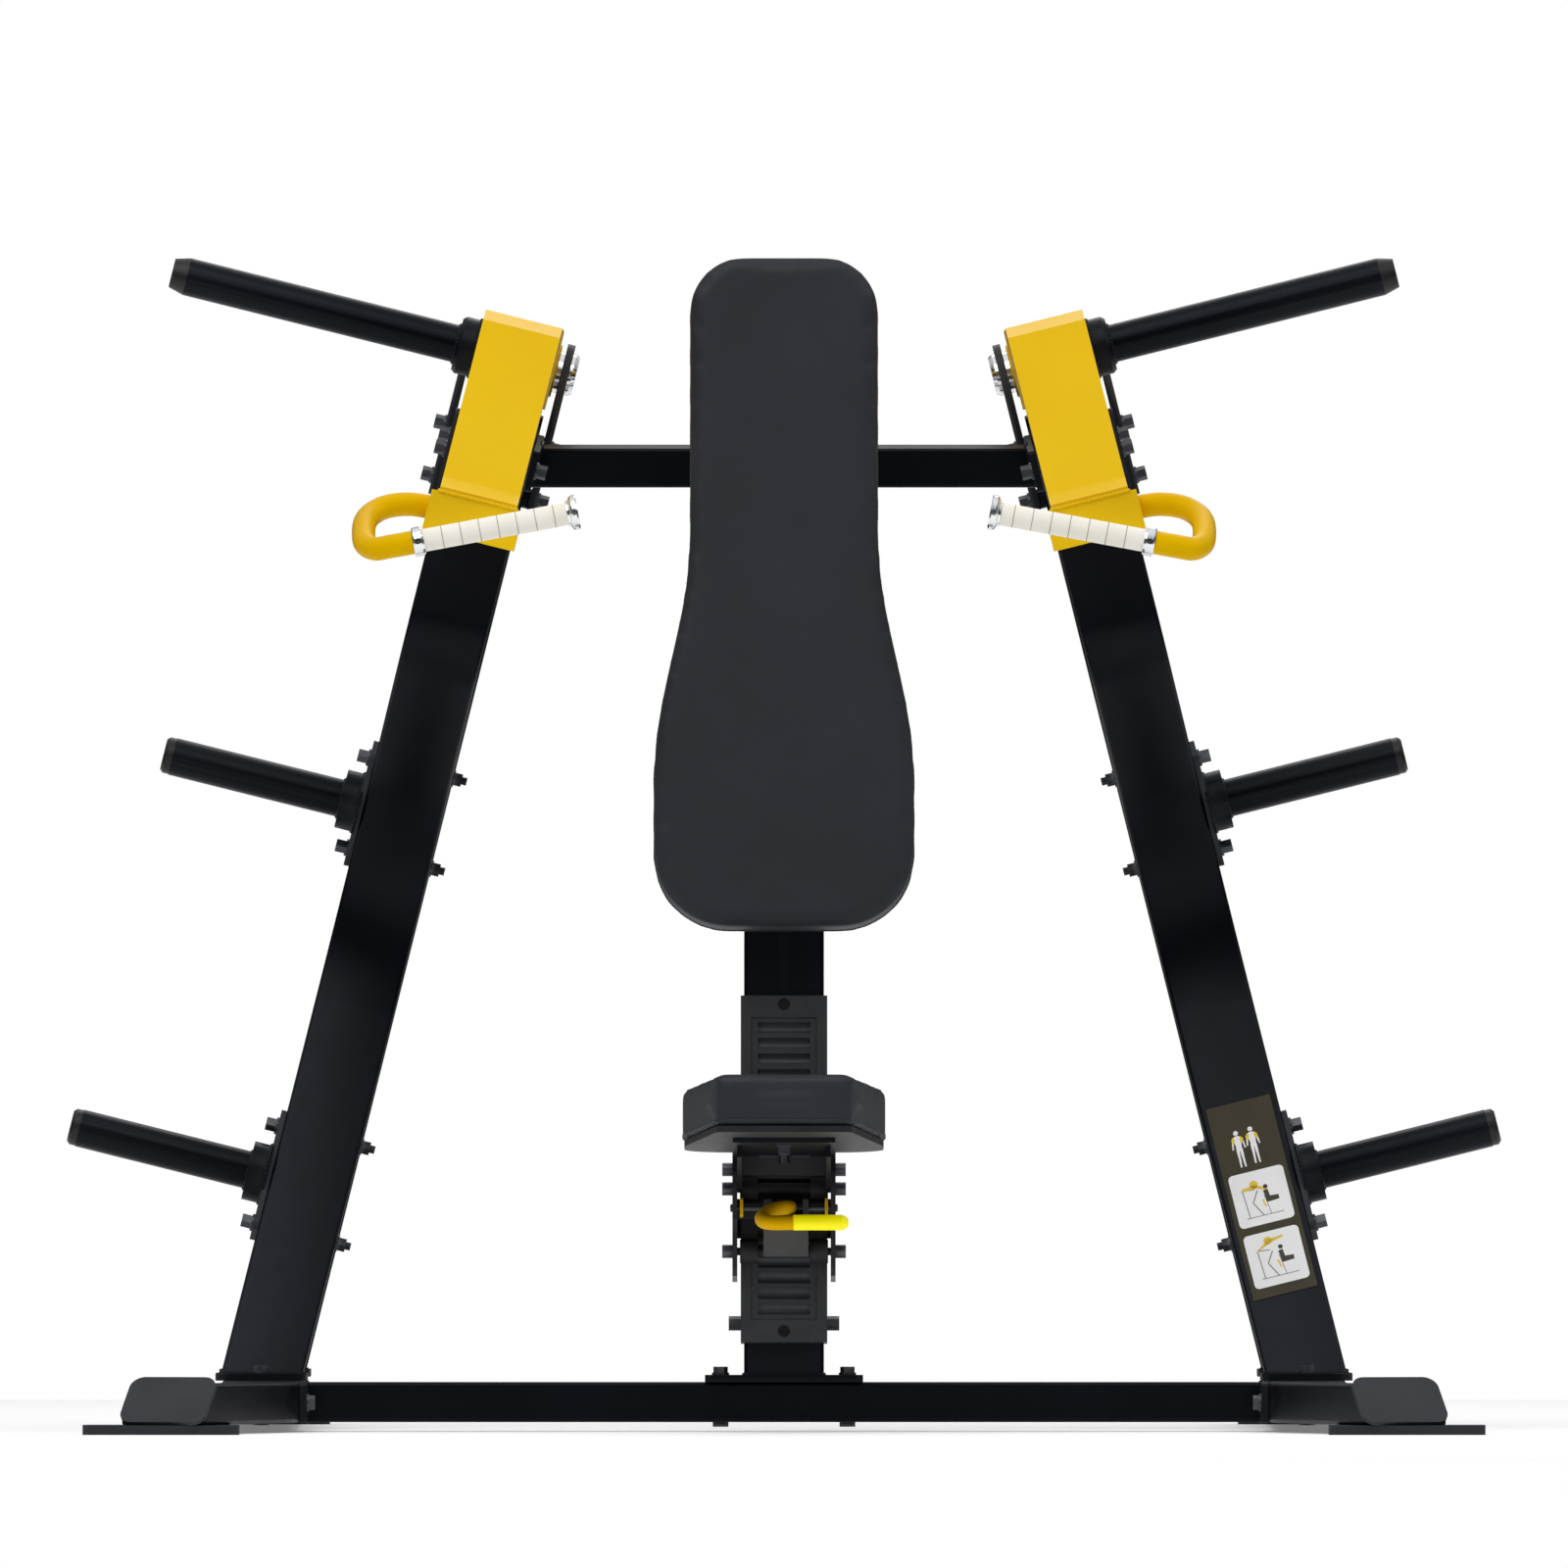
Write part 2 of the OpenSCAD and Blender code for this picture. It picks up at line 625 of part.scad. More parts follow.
// Rubber-faced stop under each arm, on top of the beam
stop_y = 60;
stop_s = cross_s - (cross_y - stop_y) * tan(beam_tilt) + tube_d / 2;
arm_under_s = pivot_s - 51.4;
stop_pad_t = 18;
module arm_stops() {
    color(black) for (side = [-1, 1]) leaning(side) difference() {
        translate([-20, stop_y - 30, stop_s - 8]) cube([40, 60, arm_under_s - stop_pad_t - stop_s + 8]);
        translate([-16, stop_y - 31, stop_s - 20]) cube([32, 62, arm_under_s - stop_pad_t - stop_s + 16]);
        top_beam_solid(tube_w, tube_d, 0);
    }
}
module stop_pads() {
    color("#141414") for (side = [-1, 1]) leaning(side)
        translate([0, stop_y, arm_under_s - stop_pad_t]) cylinder(h = stop_pad_t - 0.3, d = 38);
}

// Placard on the front of the right front post, near its foot
placard_s = 293;
placard_size = [84, 277, 1.2];
module placard() {
    color([0.28, 0.25, 0.15]) leaning(1) translate([0, front_foot_y, post_foot_z])
        rotate([-front_low_tilt, 0, 0])
        translate([0, -tube_d / 2, (placard_s - post_foot_z) / cos(front_low_tilt)])
        rotate([90, 0, 0]) linear_extrude(placard_size[2])
        square([placard_size[0], placard_size[1]], center = true);
}

// Plastic caps in the open rear ends of the rails and the front ends of the top beams
module tube_end_caps() {
    color("#17191c") for (side = [-1, 1]) {
        on_side(side) translate([rail_x, rail_rear_y + 4, rail_z + tube_d / 2]) rotate([90, 0, 0]) {
            linear_extrude(4) round_rect(tube_w - 1, tube_d - 1, corner_r);
            linear_extrude(20) round_rect(tube_w - 2 * wall, tube_d - 2 * wall, 3);
        }
        leaning(side) translate([0, cross_y, cross_s]) rotate([beam_tilt, 0, 0])
            translate([0, (beam_front_y - cross_y) / cos(beam_tilt) - 4, 0]) rotate([-90, 0, 0]) {
                linear_extrude(4) round_rect(tube_w - 1, tube_d - 1, corner_r);
                linear_extrude(20) round_rect(tube_w - 2 * wall, tube_d - 2 * wall, 3);
            }
    }
}

// Press arm: a square tube, level from the pivot to the horn, whose nose slopes down to a toe
arm_w = 100.6;
arm_half = 51.4;
arm_wall = 4;
horn_y = pivot_y - horn_reach;
nose_y = horn_y - 45;
nose_slope = 45;
crease_s = 1238 - pivot_s;
toe_s = 1219 - pivot_s;
crease_y = nose_y - (arm_half - crease_s) / tan(nose_slope);
toe_y = crease_y - 45;
toe_t = 6;
brow = [22, 13];

// Side outline of the arm about its pivot, grown inwards by g
module arm_outline(g) {
    under_y = nose_y + (2 * arm_half) * tan(nose_slope / 2);
    k = g * tan(nose_slope / 2);
    circle(arm_half - g);
    polygon([
        [0, arm_half - g], [nose_y - pivot_y + brow[0] + 0.18 * g, arm_half - g],
        [nose_y - pivot_y - brow[1] + 0.55 * g, arm_half - brow[1] - 0.86 * g],
        [crease_y - pivot_y + g * 1.41, crease_s],
        [crease_y - pivot_y + g * 1.41, toe_s + g],
        [under_y - pivot_y - (-arm_half - toe_s) / tan(nose_slope) - g * 1.41, toe_s + g],
        [under_y - pivot_y - k, g - arm_half], [0, g - arm_half]]);
}
module arm_beam(side) {
    color(yellow) leaning(side) difference() {
        union() {
            translate([-arm_w / 2, pivot_y, pivot_s]) rotate([90, 0, 90])
                linear_extrude(arm_w) arm_outline(0);
            translate([-arm_w / 2, 0, pivot_s]) rotate([90, 0, 90]) linear_extrude(arm_w) polygon([
                [crease_y, crease_s], [toe_y, toe_s + toe_t], [toe_y, toe_s], [crease_y, toe_s]]);
        }
        translate([-arm_w / 2 + arm_wall, pivot_y, pivot_s]) rotate([90, 0, 90])
            linear_extrude(arm_w - 2 * arm_wall) arm_outline(arm_wall);
        translate([-100, pivot_y, pivot_s]) rotate([0, 90, 0]) cylinder(h = 200, d = hub_d);
    }
}

module arm_hub(side) {
    color(yellow) leaning(side) translate([0, pivot_y, pivot_s]) rotate([0, 90, 0]) difference() {
        cylinder(h = 2 * hub_half, d = hub_d, center = true);
        cylinder(h = 200, d = axle_d + 0.1, center = true);
    }
}

// Weight horn: a sleeve for plates on a welded collar
module arm_horn(side) {
    color(black) leaning(side) translate([arm_w / 2, horn_y, pivot_s]) rotate([0, 90, 0]) difference() {
        union() {
            rotate_extrude() polygon([[0, 0], [37, 0], [37, 20], [33, 25], [0, 25]]);
            cylinder(h = 25 + arm_horn_l, d = horn_d);
        }
        translate([0, 0, 3]) cylinder(h = 400, d = horn_d - 8);
    }
}
module horn_cap(side) {
    color("#17191c") leaning(side) translate([arm_w / 2 + 25 + arm_horn_l, horn_y, pivot_s])
        rotate([0, 90, 0]) rotate_extrude() polygon([
            [0, -16], [(horn_d - 8) / 2, -16], [(horn_d - 8) / 2, 0], [horn_d / 2, 0],
            [horn_d / 2 - 5.5, cap_l], [0, cap_l]]);
}

// Handle box: the cross tube under the toe of the arm that carries the handle loop
box_w = 120;
box_s = [1167, 1219];
box_depth = 70;
box_y = toe_y + box_depth / 2 - 4;
module handle_box(side) {
    color(yellow) leaning(side) difference() {
        translate([-box_w / 2, box_y - box_depth / 2, box_s[0]])
            cube([box_w, box_depth, box_s[1] - box_s[0]]);
        translate([-box_w / 2 + arm_wall, box_y - box_depth / 2 + arm_wall, box_s[0] + arm_wall])
            cube([box_w - 2 * arm_wall, box_depth - 2 * arm_wall, box_s[1] - box_s[0] - 2 * arm_wall]);
    }
}

// Handle loop: leaves the outer side of the box, turns forward in a U and comes back inwards
loop_r = 15;
grip_y = toe_y - 95;
grip_outer = [470, grip_y, 1129];
grip_inner = [263, grip_y, 1167.5];
loop_points = [
    [447, box_y, 1174], [475, box_y, 1178], [503, box_y - 2, 1175], [522, box_y - 16, 1166],
    [531, box_y - 40, 1155], [533, box_y - 72, 1140], [530, box_y - 100, 1127],
    [518, grip_y + 8, 1121], [498, grip_y, 1124], grip_outer];

// Points on a smooth curve through the given ones, n to each stretch
function knot(p, i) = p[min(max(i, 0), len(p) - 1)];
function spline(p, n) = concat([for (i = [0 : len(p) - 2], j = [0 : n - 1]) let (t = j / n)
    (knot(p, i) * 2 + (knot(p, i + 1) - knot(p, i - 1)) * t
     + (knot(p, i - 1) * 2 - knot(p, i) * 5 + knot(p, i + 1) * 4 - knot(p, i + 2)) * t * t
     + (knot(p, i) * 3 - knot(p, i - 1) - knot(p, i + 1) * 3 + knot(p, i + 2)) * t * t * t) / 2],
    [p[len(p) - 1]]);
function unit(v) = v / norm(v);

// A round bar of radius r that follows the points, with m sides
module swept_bar(p, r, m) {
    rings = [for (i = [0 : len(p) - 1]) let (
        t = unit(knot(p, i + 1) - knot(p, i - 1)), a = unit(cross(t, [0, 0, 1])), b = cross(a, t))
        for (k = [0 : m - 1]) p[i] + a * r * cos(360 * k / m) + b * r * sin(360 * k / m)];
    walls = [for (i = [0 : len(p) - 2], k = [0 : m - 1]) let (q = (k + 1) % m)
        [i * m + k, i * m + q, (i + 1) * m + q, (i + 1) * m + k]];
    ends = [[for (k = [m - 1 : -1 : 0]) k], [for (k = [0 : m - 1]) (len(p) - 1) * m + k]];
    polyhedron(rings, concat(walls, ends));
}
module handle_loop(side) {
    color(yellow) on_side(side) difference() {
        swept_bar(spline(loop_points, 3), loop_r, 16);
        translate([lean_foot_x, 0, 0]) rotate([0, -lean, 0])
            translate([-box_w / 2, box_y - 60, box_s[0] - 30]) cube([box_w, 120, 110]);
    }
}

// The place of a grip: +Z runs along it from its outer to its inner end
grip_l = norm(grip_inner - grip_outer);
module grip_place(side) {
    d = grip_inner - grip_outer;
    on_side(side) translate(grip_outer) rotate([0, acos(d[2] / norm(d)), atan2(d[1], d[0])]) children();
}
grip_d = 29;
grip_band = 24;
module grip(side) {
    color("#e2dccd") grip_place(side) difference() {
        translate([0, 0, 14]) cylinder(h = grip_l - 26, d = grip_d);
        for (i = [1 : 7]) translate([0, 0, 14 + i * grip_band - 0.6]) difference() {
            cylinder(h = 1.2, d = grip_d + 2);
            translate([0, 0, -1]) cylinder(h = 4, d = grip_d - 1.4);
        }
        translate([0, 0, -1]) cylinder(h = grip_l + 2, d = 25.4);
    }
}
module grip_collars(side) {
    color("silver") grip_place(side) {
        rotate_extrude() polygon([[0, 0], [17, 0], [18.5, 2], [18.5, 11], [17, 14], [0, 14]]);
        translate([0, 0, 14]) cylinder(h = grip_l - 26, d = 25.4);
        translate([0, 0, grip_l - 12]) rotate_extrude() polygon([
            [0, 0], [16, 0], [16.5, 3], [20.5, 5], [22, 7], [22, 12], [20.5, 14], [0, 14]]);
    }
}

// Seat carriage: two side plates joined by cross members, rolling on the seat post
roller_d = 30;
front_run = -tube_d / 2 - ladder_t - roller_d / 2 - 0.4;
rear_run = tube_d / 2 + roller_d / 2 + 0.4;
axle_bolt_d = 10;
axles = [[rear_run, 267], [front_run, 232], [front_run, 152]];
plate_z0 = 120;
plate_z1 = 286;
plate_front = -98;
plate_back = 58;
lever_pivot = [-78, 205];
module carriage_plate_outline() {
    polygon([
        [plate_front, plate_z1 - 66], [plate_front, 250], [plate_front + 20, plate_z1],
        [plate_back - 8, plate_z1], [plate_back, plate_z1 - 8], [plate_back, 130],
        [plate_back - 8, plate_z0 + 4], [-62, plate_z0], [-72, plate_z0 + 10], [-72, 175],
        [plate_front + 2, 190]]);
}
module carriage_plates() {
    color("#2b2d31") post_space() for (k = [-1, 1]) difference() {
        translate([k > 0 ? carriage_x : -carriage_x - carriage_t, 0, 0]) rotate([90, 0, 90])
            linear_extrude(carriage_t) carriage_plate_outline();
        for (a = axles) translate([-100, a[0], a[1]]) rotate([0, 90, 0])
            cylinder(h = 200, d = axle_bolt_d);
        translate([-100, lever_pivot[0], lever_pivot[1]]) rotate([0, 90, 0])
            cylinder(h = 200, d = 10.1);
    }
}

// Cross members between the side plates: front panel, top bar and the plate under the bracket
module carriage_cross() {
    color("#3a3c40") post_space() {
        translate([-gusset_x, plate_front + 8, 246]) cube([2 * gusset_x, 7, 22]);
        translate([-carriage_x, plate_back - 12, 180]) cube([2 * carriage_x, 7, 50]);
        translate([-carriage_x, front_run - 7, 193]) cube([2 * carriage_x, 6, 21]);
    }
}
module roller(a) {
    color("#26282b") post_space() translate([0, a[0], a[1]]) rotate([0, 90, 0]) difference() {
        union() {
            for (k = [-1, 1]) translate([0, 0, k * 44.5]) cylinder(h = 23, d = roller_d, center = true);
            cylinder(h = 90, d = 16, center = true);
        }
        cylinder(h = 200, d = axle_bolt_d + 0.1, center = true);
    }
}
module roller_bolts() {
    color("#33363b") post_space() for (a = axles) translate([0, a[0], a[1]]) {
        for (k = [-1, 1]) translate([k * (carriage_x + carriage_t), 0, 0]) rotate([0, k * 90, 0])
            cylinder(h = 13, d = 17);
        rotate([0, 90, 0]) cylinder(h = 2 * (carriage_x + carriage_t), d = axle_bolt_d, center = true);
    }
    color("#c9cbcd") seat_space() for (y = seat_bolt_y) translate([0, y, -board_t - bracket_t]) {
        mirror([0, 0, 1]) hex_end(13, 10);
        translate([0, 0, -3]) cylinder(h = board_t + bracket_t, d = 8);
    }
}

// Seat: a folded bracket on the carriage, a plywood board and the pad, all tipped up in front
seat_tilt = 4.2;
seat_len = 390;
seat_rear_y = -355;
seat_under_z = 362.5;
board_t = 8;
bracket_t = 6;
bracket_l = 250;
seat_bolt_y = [-70, -240];
gusset_x = carriage_x - bracket_t;
module seat_space() {
    translate([0, seat_rear_y, seat_under_z]) rotate([-seat_tilt, 0, 0]) children();
}
module seat_outline(g) {
    half = seat_w / 2 - g;
    front = seat_w / 2 * 0.68 - g / 2;
    r = 60 - g;
    hull() {
        for (x = [-1, 1]) {
            translate([x * (half - r), -r - g]) circle(r = r, $fn = 32);
            translate([x * (half - 20), -115]) circle(r = 20, $fn = 32);
            translate([x * (front - 14), -seat_len + 14 + g]) circle(r = 14, $fn = 32);
        }
    }
}
module seat_bracket() {
    color(black) {
        seat_space() difference() {
            translate([-65, -30 - bracket_l, -board_t - bracket_t]) cube([130, bracket_l, bracket_t]);
            for (y = seat_bolt_y) translate([0, y, -40]) cylinder(h = 60, d = 8.5);
        }
        for (k = [-1, 1]) difference() {
            post_space() translate([k > 0 ? gusset_x : -carriage_x, 0, 0]) rotate([90, 0, 90])
                linear_extrude(bracket_t) polygon([[-71, 226], [-71, 300], [-300, 300], [-300, 246],
                    [-140, 236], [-98, 226]]);
            seat_space() translate([-200, -500, 1 - board_t - bracket_t]) cube([400, 700, 200]);
        }
    }
}
module seat_board() {
    color("#15171a") seat_space() translate([0, 0, -board_t]) linear_extrude(board_t) difference() {
        seat_outline(4);
        for (y = seat_bolt_y) translate([0, y]) circle(d = 8.5);
    }
}
module seat_pad() {
    color("#2d3035") seat_space() linear_extrude(seat_t) seat_outline(0);
}

// Seat lever: a shaft across the carriage with a bent rod, a grip and the latch block below
lever_d = 19;
module seat_lever() {
    color([0.84, 0.63, 0]) post_space() translate([0, lever_pivot[0], lever_pivot[1]]) {
        rotate([0, 90, 0]) cylinder(h = 2 * carriage_x + 18, d = 10, center = true);
        for (k = [-1, 1]) translate([k * 54, 0, 0]) rotate([90, 0, 90]) linear_extrude(4, center = true)
            polygon([[-12, -12], [-12, 12], [8, 12], [8, -12]]);
        swept_bar(spline(lever_points, 4), lever_d / 2, 20);
    }
}
lever_points = [[8, 0, 0], [-1, -24, -2], [-16, -44, -8], [-27, -63, -18], [-26, -78, -25],
    [-14, -86, -28], [12, -88, -28]];
module lever_grip() {
    color([1, 0.94, 0]) post_space() translate([12, lever_pivot[0] - 88, lever_pivot[1] - 28])
        rotate([0, 90, 0]) rotate_extrude() polygon([
            [0, 0], [lever_d / 2 + 0.4, 0], [lever_d / 2 + 0.4, 62], [7.5, 67], [4, 70], [0, 70]]);
}
module latch_pawl() {
    color("#585a5f") post_space() difference() {
        translate([-26, 0, 0]) rotate([90, 0, 90]) linear_extrude(57) polygon([
            [-96, 143], [-96, 194], [-88, 215], [-68, 215], [-68, 190], [-74, 186], [-40.5, 186],
            [-40.5, 175], [-74, 170], [-74, 143]]);
        translate([0, lever_pivot[0], lever_pivot[1]]) rotate([0, 90, 0])
            cylinder(h = 200, d = 10, center = true);
        translate([-16, -120, 193]) cube([40, 80, 40]);
    }
}

base_rail(-1);  // base_rail_left
base_rail(1);  // base_rail_right
nose_plates();
foot_plates();
lower_crossbeam();
front_post(-1);  // front_post_left
front_post(1);  // front_post_right
front_post_feet();
rear_post(-1);  // rear_post_left
rear_post(1);  // rear_post_right
top_beam(-1);  // top_beam_left
top_beam(1);  // top_beam_right
mid_braces();
gusset_plates();
upper_crossbeam();
seat_post();
seat_ladder();
back_brackets();
back_board();
back_pad();
storage_flanges();
storage_horns();
storage_plugs();
horn_bolts();
frame_bolts();
fork_plates();
arm_axles();
axle_caps();
arm_stops();
stop_pads();
placard();
tube_end_caps();
arm_beam(-1);  // arm_beam_left
arm_hub(-1);  // arm_hub_left
arm_horn(-1);  // arm_horn_left
horn_cap(-1);  // horn_cap_left
handle_box(-1);  // handle_box_left
handle_loop(-1);  // handle_loop_left
grip(-1);  // grip_left
grip_collars(-1);  // grip_collars_left
arm_beam(1);  // arm_beam_right
arm_hub(1);  // arm_hub_right
arm_horn(1);  // arm_horn_right
horn_cap(1);  // horn_cap_right
handle_box(1);  // handle_box_right
handle_loop(1);  // handle_loop_right
grip(1);  // grip_right
grip_collars(1);  // grip_collars_right
carriage_plates();
carriage_cross();
roller(axles[0]);  // roller_rear
roller(axles[1]);  // roller_upper
roller(axles[2]);  // roller_lower
roller_bolts();
seat_bracket();
seat_board();
seat_pad();
seat_lever();
lever_grip();
latch_pawl();
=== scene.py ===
import bpy
import bmesh
from math import cos, sin, tan, radians, pi, sqrt, atan2
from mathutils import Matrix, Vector
from mathutils.bvhtree import BVHTree
from mathutils.noise import noise


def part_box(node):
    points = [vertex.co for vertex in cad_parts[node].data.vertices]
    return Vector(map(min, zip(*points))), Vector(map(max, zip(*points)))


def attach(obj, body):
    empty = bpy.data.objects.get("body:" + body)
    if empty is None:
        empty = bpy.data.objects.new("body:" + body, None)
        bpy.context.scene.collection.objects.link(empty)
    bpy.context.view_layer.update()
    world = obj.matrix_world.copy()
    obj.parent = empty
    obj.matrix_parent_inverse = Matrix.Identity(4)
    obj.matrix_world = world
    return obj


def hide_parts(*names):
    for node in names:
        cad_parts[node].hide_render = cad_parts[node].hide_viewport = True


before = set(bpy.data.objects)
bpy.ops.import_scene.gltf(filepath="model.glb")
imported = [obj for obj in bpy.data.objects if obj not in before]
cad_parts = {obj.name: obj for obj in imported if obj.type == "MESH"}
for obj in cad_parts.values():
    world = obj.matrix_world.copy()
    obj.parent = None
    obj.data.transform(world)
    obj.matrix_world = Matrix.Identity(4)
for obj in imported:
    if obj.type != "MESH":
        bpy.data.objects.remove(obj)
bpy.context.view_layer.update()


# ---- Base rails, posts and crossbeams ------------------------------------------------------
# The frame is rectangular steel tube, sawn, bent and welded to bolt-on flanges, and then
# powder coated in a satin black whose skin is very slightly rippled, like an orange's.
# Edges where the coat is thin and rubbed look a little lighter.

def shader_of(name):
    """A new material with its node tree and its one Principled shader."""
    material = bpy.data.materials.new(name)
    material.use_nodes = True
    tree = material.node_tree
    return material, tree, tree.nodes["Principled BSDF"]


def spots(tree, scale, detail=3.0, stretch=(1, 1, 1)):
    """A noise over the piece's own coordinates, in metres."""
    place = tree.nodes.new("ShaderNodeTexCoord")
    sized = tree.nodes.new("ShaderNodeMapping")
    sized.inputs["Scale"].default_value = stretch
    tree.links.new(place.outputs["Object"], sized.inputs["Vector"])
    cloud = tree.nodes.new("ShaderNodeTexNoise")
    cloud.inputs["Scale"].default_value = scale
    cloud.inputs["Detail"].default_value = detail
    tree.links.new(sized.outputs["Vector"], cloud.inputs["Vector"])
    return cloud.outputs["Fac"]


def ramp(tree, value, stops):
    """Turns a value into a colour through the given (position, colour) stops."""
    band = tree.nodes.new("ShaderNodeValToRGB")
    keys = band.color_ramp.elements
    while len(keys) < len(stops):
        keys.new(0.5)
    for key, (position, colour) in zip(keys, stops):
        key.position = position
        key.color = (*colour, 1)
    tree.links.new(value, band.inputs["Fac"])
    return band.outputs["Color"]


def span(tree, value, low, high):
    """Maps a value from 0..1 to low..high."""
    change = tree.nodes.new("ShaderNodeMapRange")
    change.inputs["To Min"].default_value = low
    change.inputs["To Max"].default_value = high
    tree.links.new(value, change.inputs["Value"])
    return change.outputs["Result"]


def bumped(tree, shader, height, strength, depth):
    """Drives the shader's normal with a height, depth in metres."""
    bump = tree.nodes.new("ShaderNodeBump")
    bump.inputs["Strength"].default_value = strength
    bump.inputs["Distance"].default_value = depth
    tree.links.new(height, bump.inputs["Height"])
    tree.links.new(bump.outputs["Normal"], shader.inputs["Normal"])


EDGE_FROM, EDGE_TO = 0.52, 0.62


def worn_edges(tree, colour, worn, amount):
    """Lightens a colour on sharp edges, where a coat is thin."""
    shape = tree.nodes.new("ShaderNodeNewGeometry")
    edge = tree.nodes.new("ShaderNodeMapRange")
    edge.inputs["From Min"].default_value = EDGE_FROM
    edge.inputs["From Max"].default_value = EDGE_TO
    edge.inputs["To Max"].default_value = amount
    tree.links.new(shape.outputs["Pointiness"], edge.inputs["Value"])
    blend = tree.nodes.new("ShaderNodeMix")
    blend.data_type = "RGBA"
    blend.inputs["B"].default_value = (*worn, 1)
    tree.links.new(edge.outputs["Result"], blend.inputs["Factor"])
    tree.links.new(colour, blend.inputs["A"])
    return blend.outputs["Result"]


def powder_coat(name, deep, light, worn, rough, peel=0.18, glint=(0.78, 0.88, 1), gloss=0.2):
    """A powder coat between two near shades, with orange peel, rubbed edges and a tinted glint."""
    material, tree, shader = shader_of(name)
    tint = ramp(tree, spots(tree, 9, 5), [(0.35, deep), (0.7, light)])
    tree.links.new(worn_edges(tree, tint, worn, 0.5), shader.inputs["Base Color"])
    tree.links.new(span(tree, spots(tree, 34, 6), rough - 0.05, rough + 0.09),
                   shader.inputs["Roughness"])
    shader.inputs["Specular IOR Level"].default_value = gloss
    shader.inputs["Specular Tint"].default_value = (*glint, 1)
    bumped(tree, shader, spots(tree, 850, 2), peel, 0.0004)
    return material


def dress(material, *nodes):
    """Puts a finish on CAD nodes."""
    for node in nodes:
        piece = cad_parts[node]
        if not piece.material_slots:
            piece.data.materials.append(material)
        for held in piece.material_slots:
            held.material = material


black_coat = powder_coat("black_powder_coat", (0.0006, 0.0007, 0.002), (0.0016, 0.0018, 0.0038),
                         (0.02, 0.022, 0.027), 0.34, gloss=0.13)
dress(black_coat, "base_rail_left", "base_rail_right", "lower_crossbeam", "front_post_feet",
      "rear_post_left", "rear_post_right", "top_beam_left", "top_beam_right", "mid_braces",
      "upper_crossbeam", "seat_post", "back_brackets", "storage_horns", "arm_stops",
      "seat_bracket")
dress(powder_coat("foot_plate_coat", (0.012, 0.0125, 0.014), (0.019, 0.0195, 0.022),
                  (0.05, 0.05, 0.055), 0.5), "foot_plates")

# ---- Welds ---------------------------------------------------------------------------------
# Tubes meet their flanges in a hand-laid weld: a low steel bead with a ripple for each dab of
# wire, coated over with the frame. The side frames lean inwards by 14 degrees.
LEAN = radians(14)
FOOT_X = 0.6832
TUBE_W, TUBE_D, CORNER = 0.1016, 0.0508, 0.005
RAIL_X = 0.666
FLANGE_T = 0.009
POST_FOOT_Z = 0.012 + TUBE_D + FLANGE_T
BEAD_R = 0.0024


def leaning(side, out, y, up):
    """A point given outwards, back and up in the leaning plane of one side frame."""
    return Vector((side * (FOOT_X + out * cos(LEAN) - up * sin(LEAN)), y,
                   out * sin(LEAN) + up * cos(LEAN)))


def mesh_piece(name, points, faces, material, body, smooth=True):
    """A mesh object that rides on a body."""
    mesh = bpy.data.meshes.new(name)
    mesh.from_pydata([tuple(p) for p in points], [], faces)
    mesh.update()
    mesh.polygons.foreach_set("use_smooth", [smooth] * len(mesh.polygons))
    mesh.materials.append(material)
    piece = bpy.data.objects.new(name, mesh)
    bpy.context.scene.collection.objects.link(piece)
    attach(piece, body)
    return piece


def even_steps(line, step):
    """Points a step apart round a closed line of points."""
    ends = line + line[:1]
    spread, left = [ends[0]], step
    for a, b in zip(ends, ends[1:]):
        run = (b - a).length
        at = left
        while at < run:
            spread.append(a.lerp(b, at / run))
            at += step
        left = at - run
    return spread


def bead(line, radius, ripple=0.22, step=0.0016, sides=6):
    """Points and faces of a bar that swells and shrinks round a closed line."""
    path = even_steps(line, step)
    count = len(path)
    points, faces = [], []
    for i, place in enumerate(path):
        along = (path[(i + 1) % count] - path[i - 1]).normalized()
        across = along.cross(Vector((0.31, 0.52, 0.79))).normalized()
        over = along.cross(across)
        size = radius * (1 + ripple * sin(i * 1.9) + 0.1 * noise(place * 90))
        for k in range(sides):
            turn = 2 * pi * k / sides
            points.append(place + size * (cos(turn) * across + sin(turn) * over))
    for i in range(count):
        j = (i + 1) % count
        for k in range(sides):
            q = (k + 1) % sides
            faces.append((i * sides + k, i * sides + q, j * sides + q, j * sides + k))
    return points, faces


def beads(lines, radius, **way):
    """Points and faces of several beads that make one piece."""
    points, faces = [], []
    for line in lines:
        more, skin = bead(line, radius, **way)
        faces += [tuple(k + len(points) for k in face) for face in skin]
        points += more
    return points, faces


def weld(name, lines, material, body):
    """One piece of weld beads round closed lines."""
    return mesh_piece(name, *beads(lines, BEAD_R), material, body)


def ring(w, d, r=CORNER, steps=4):
    """Corners of a w by d rectangle with round corners, about its middle."""
    line = []
    for q in range(4):
        for i in range(steps + 1):
            turn = radians(90 * q + 90 * i / steps)
            line.append(((w / 2 - r) * (1 if q in (0, 3) else -1) + r * cos(turn),
                         (d / 2 - r) * (1 if q < 2 else -1) + r * sin(turn)))
    return line


def foot_ring(side, y, tilt):
    """Where a leaning post, tilted forward by tilt, stands on its foot flange."""
    line = []
    for out, v in ring(TUBE_W, TUBE_D):
        up = (POST_FOOT_Z - out * sin(LEAN)) / cos(LEAN)
        start_y, start_up = y + v * cos(tilt), POST_FOOT_Z + v * sin(tilt)
        line.append(leaning(side, out, start_y - (up - start_up) * tan(tilt), up))
    return line


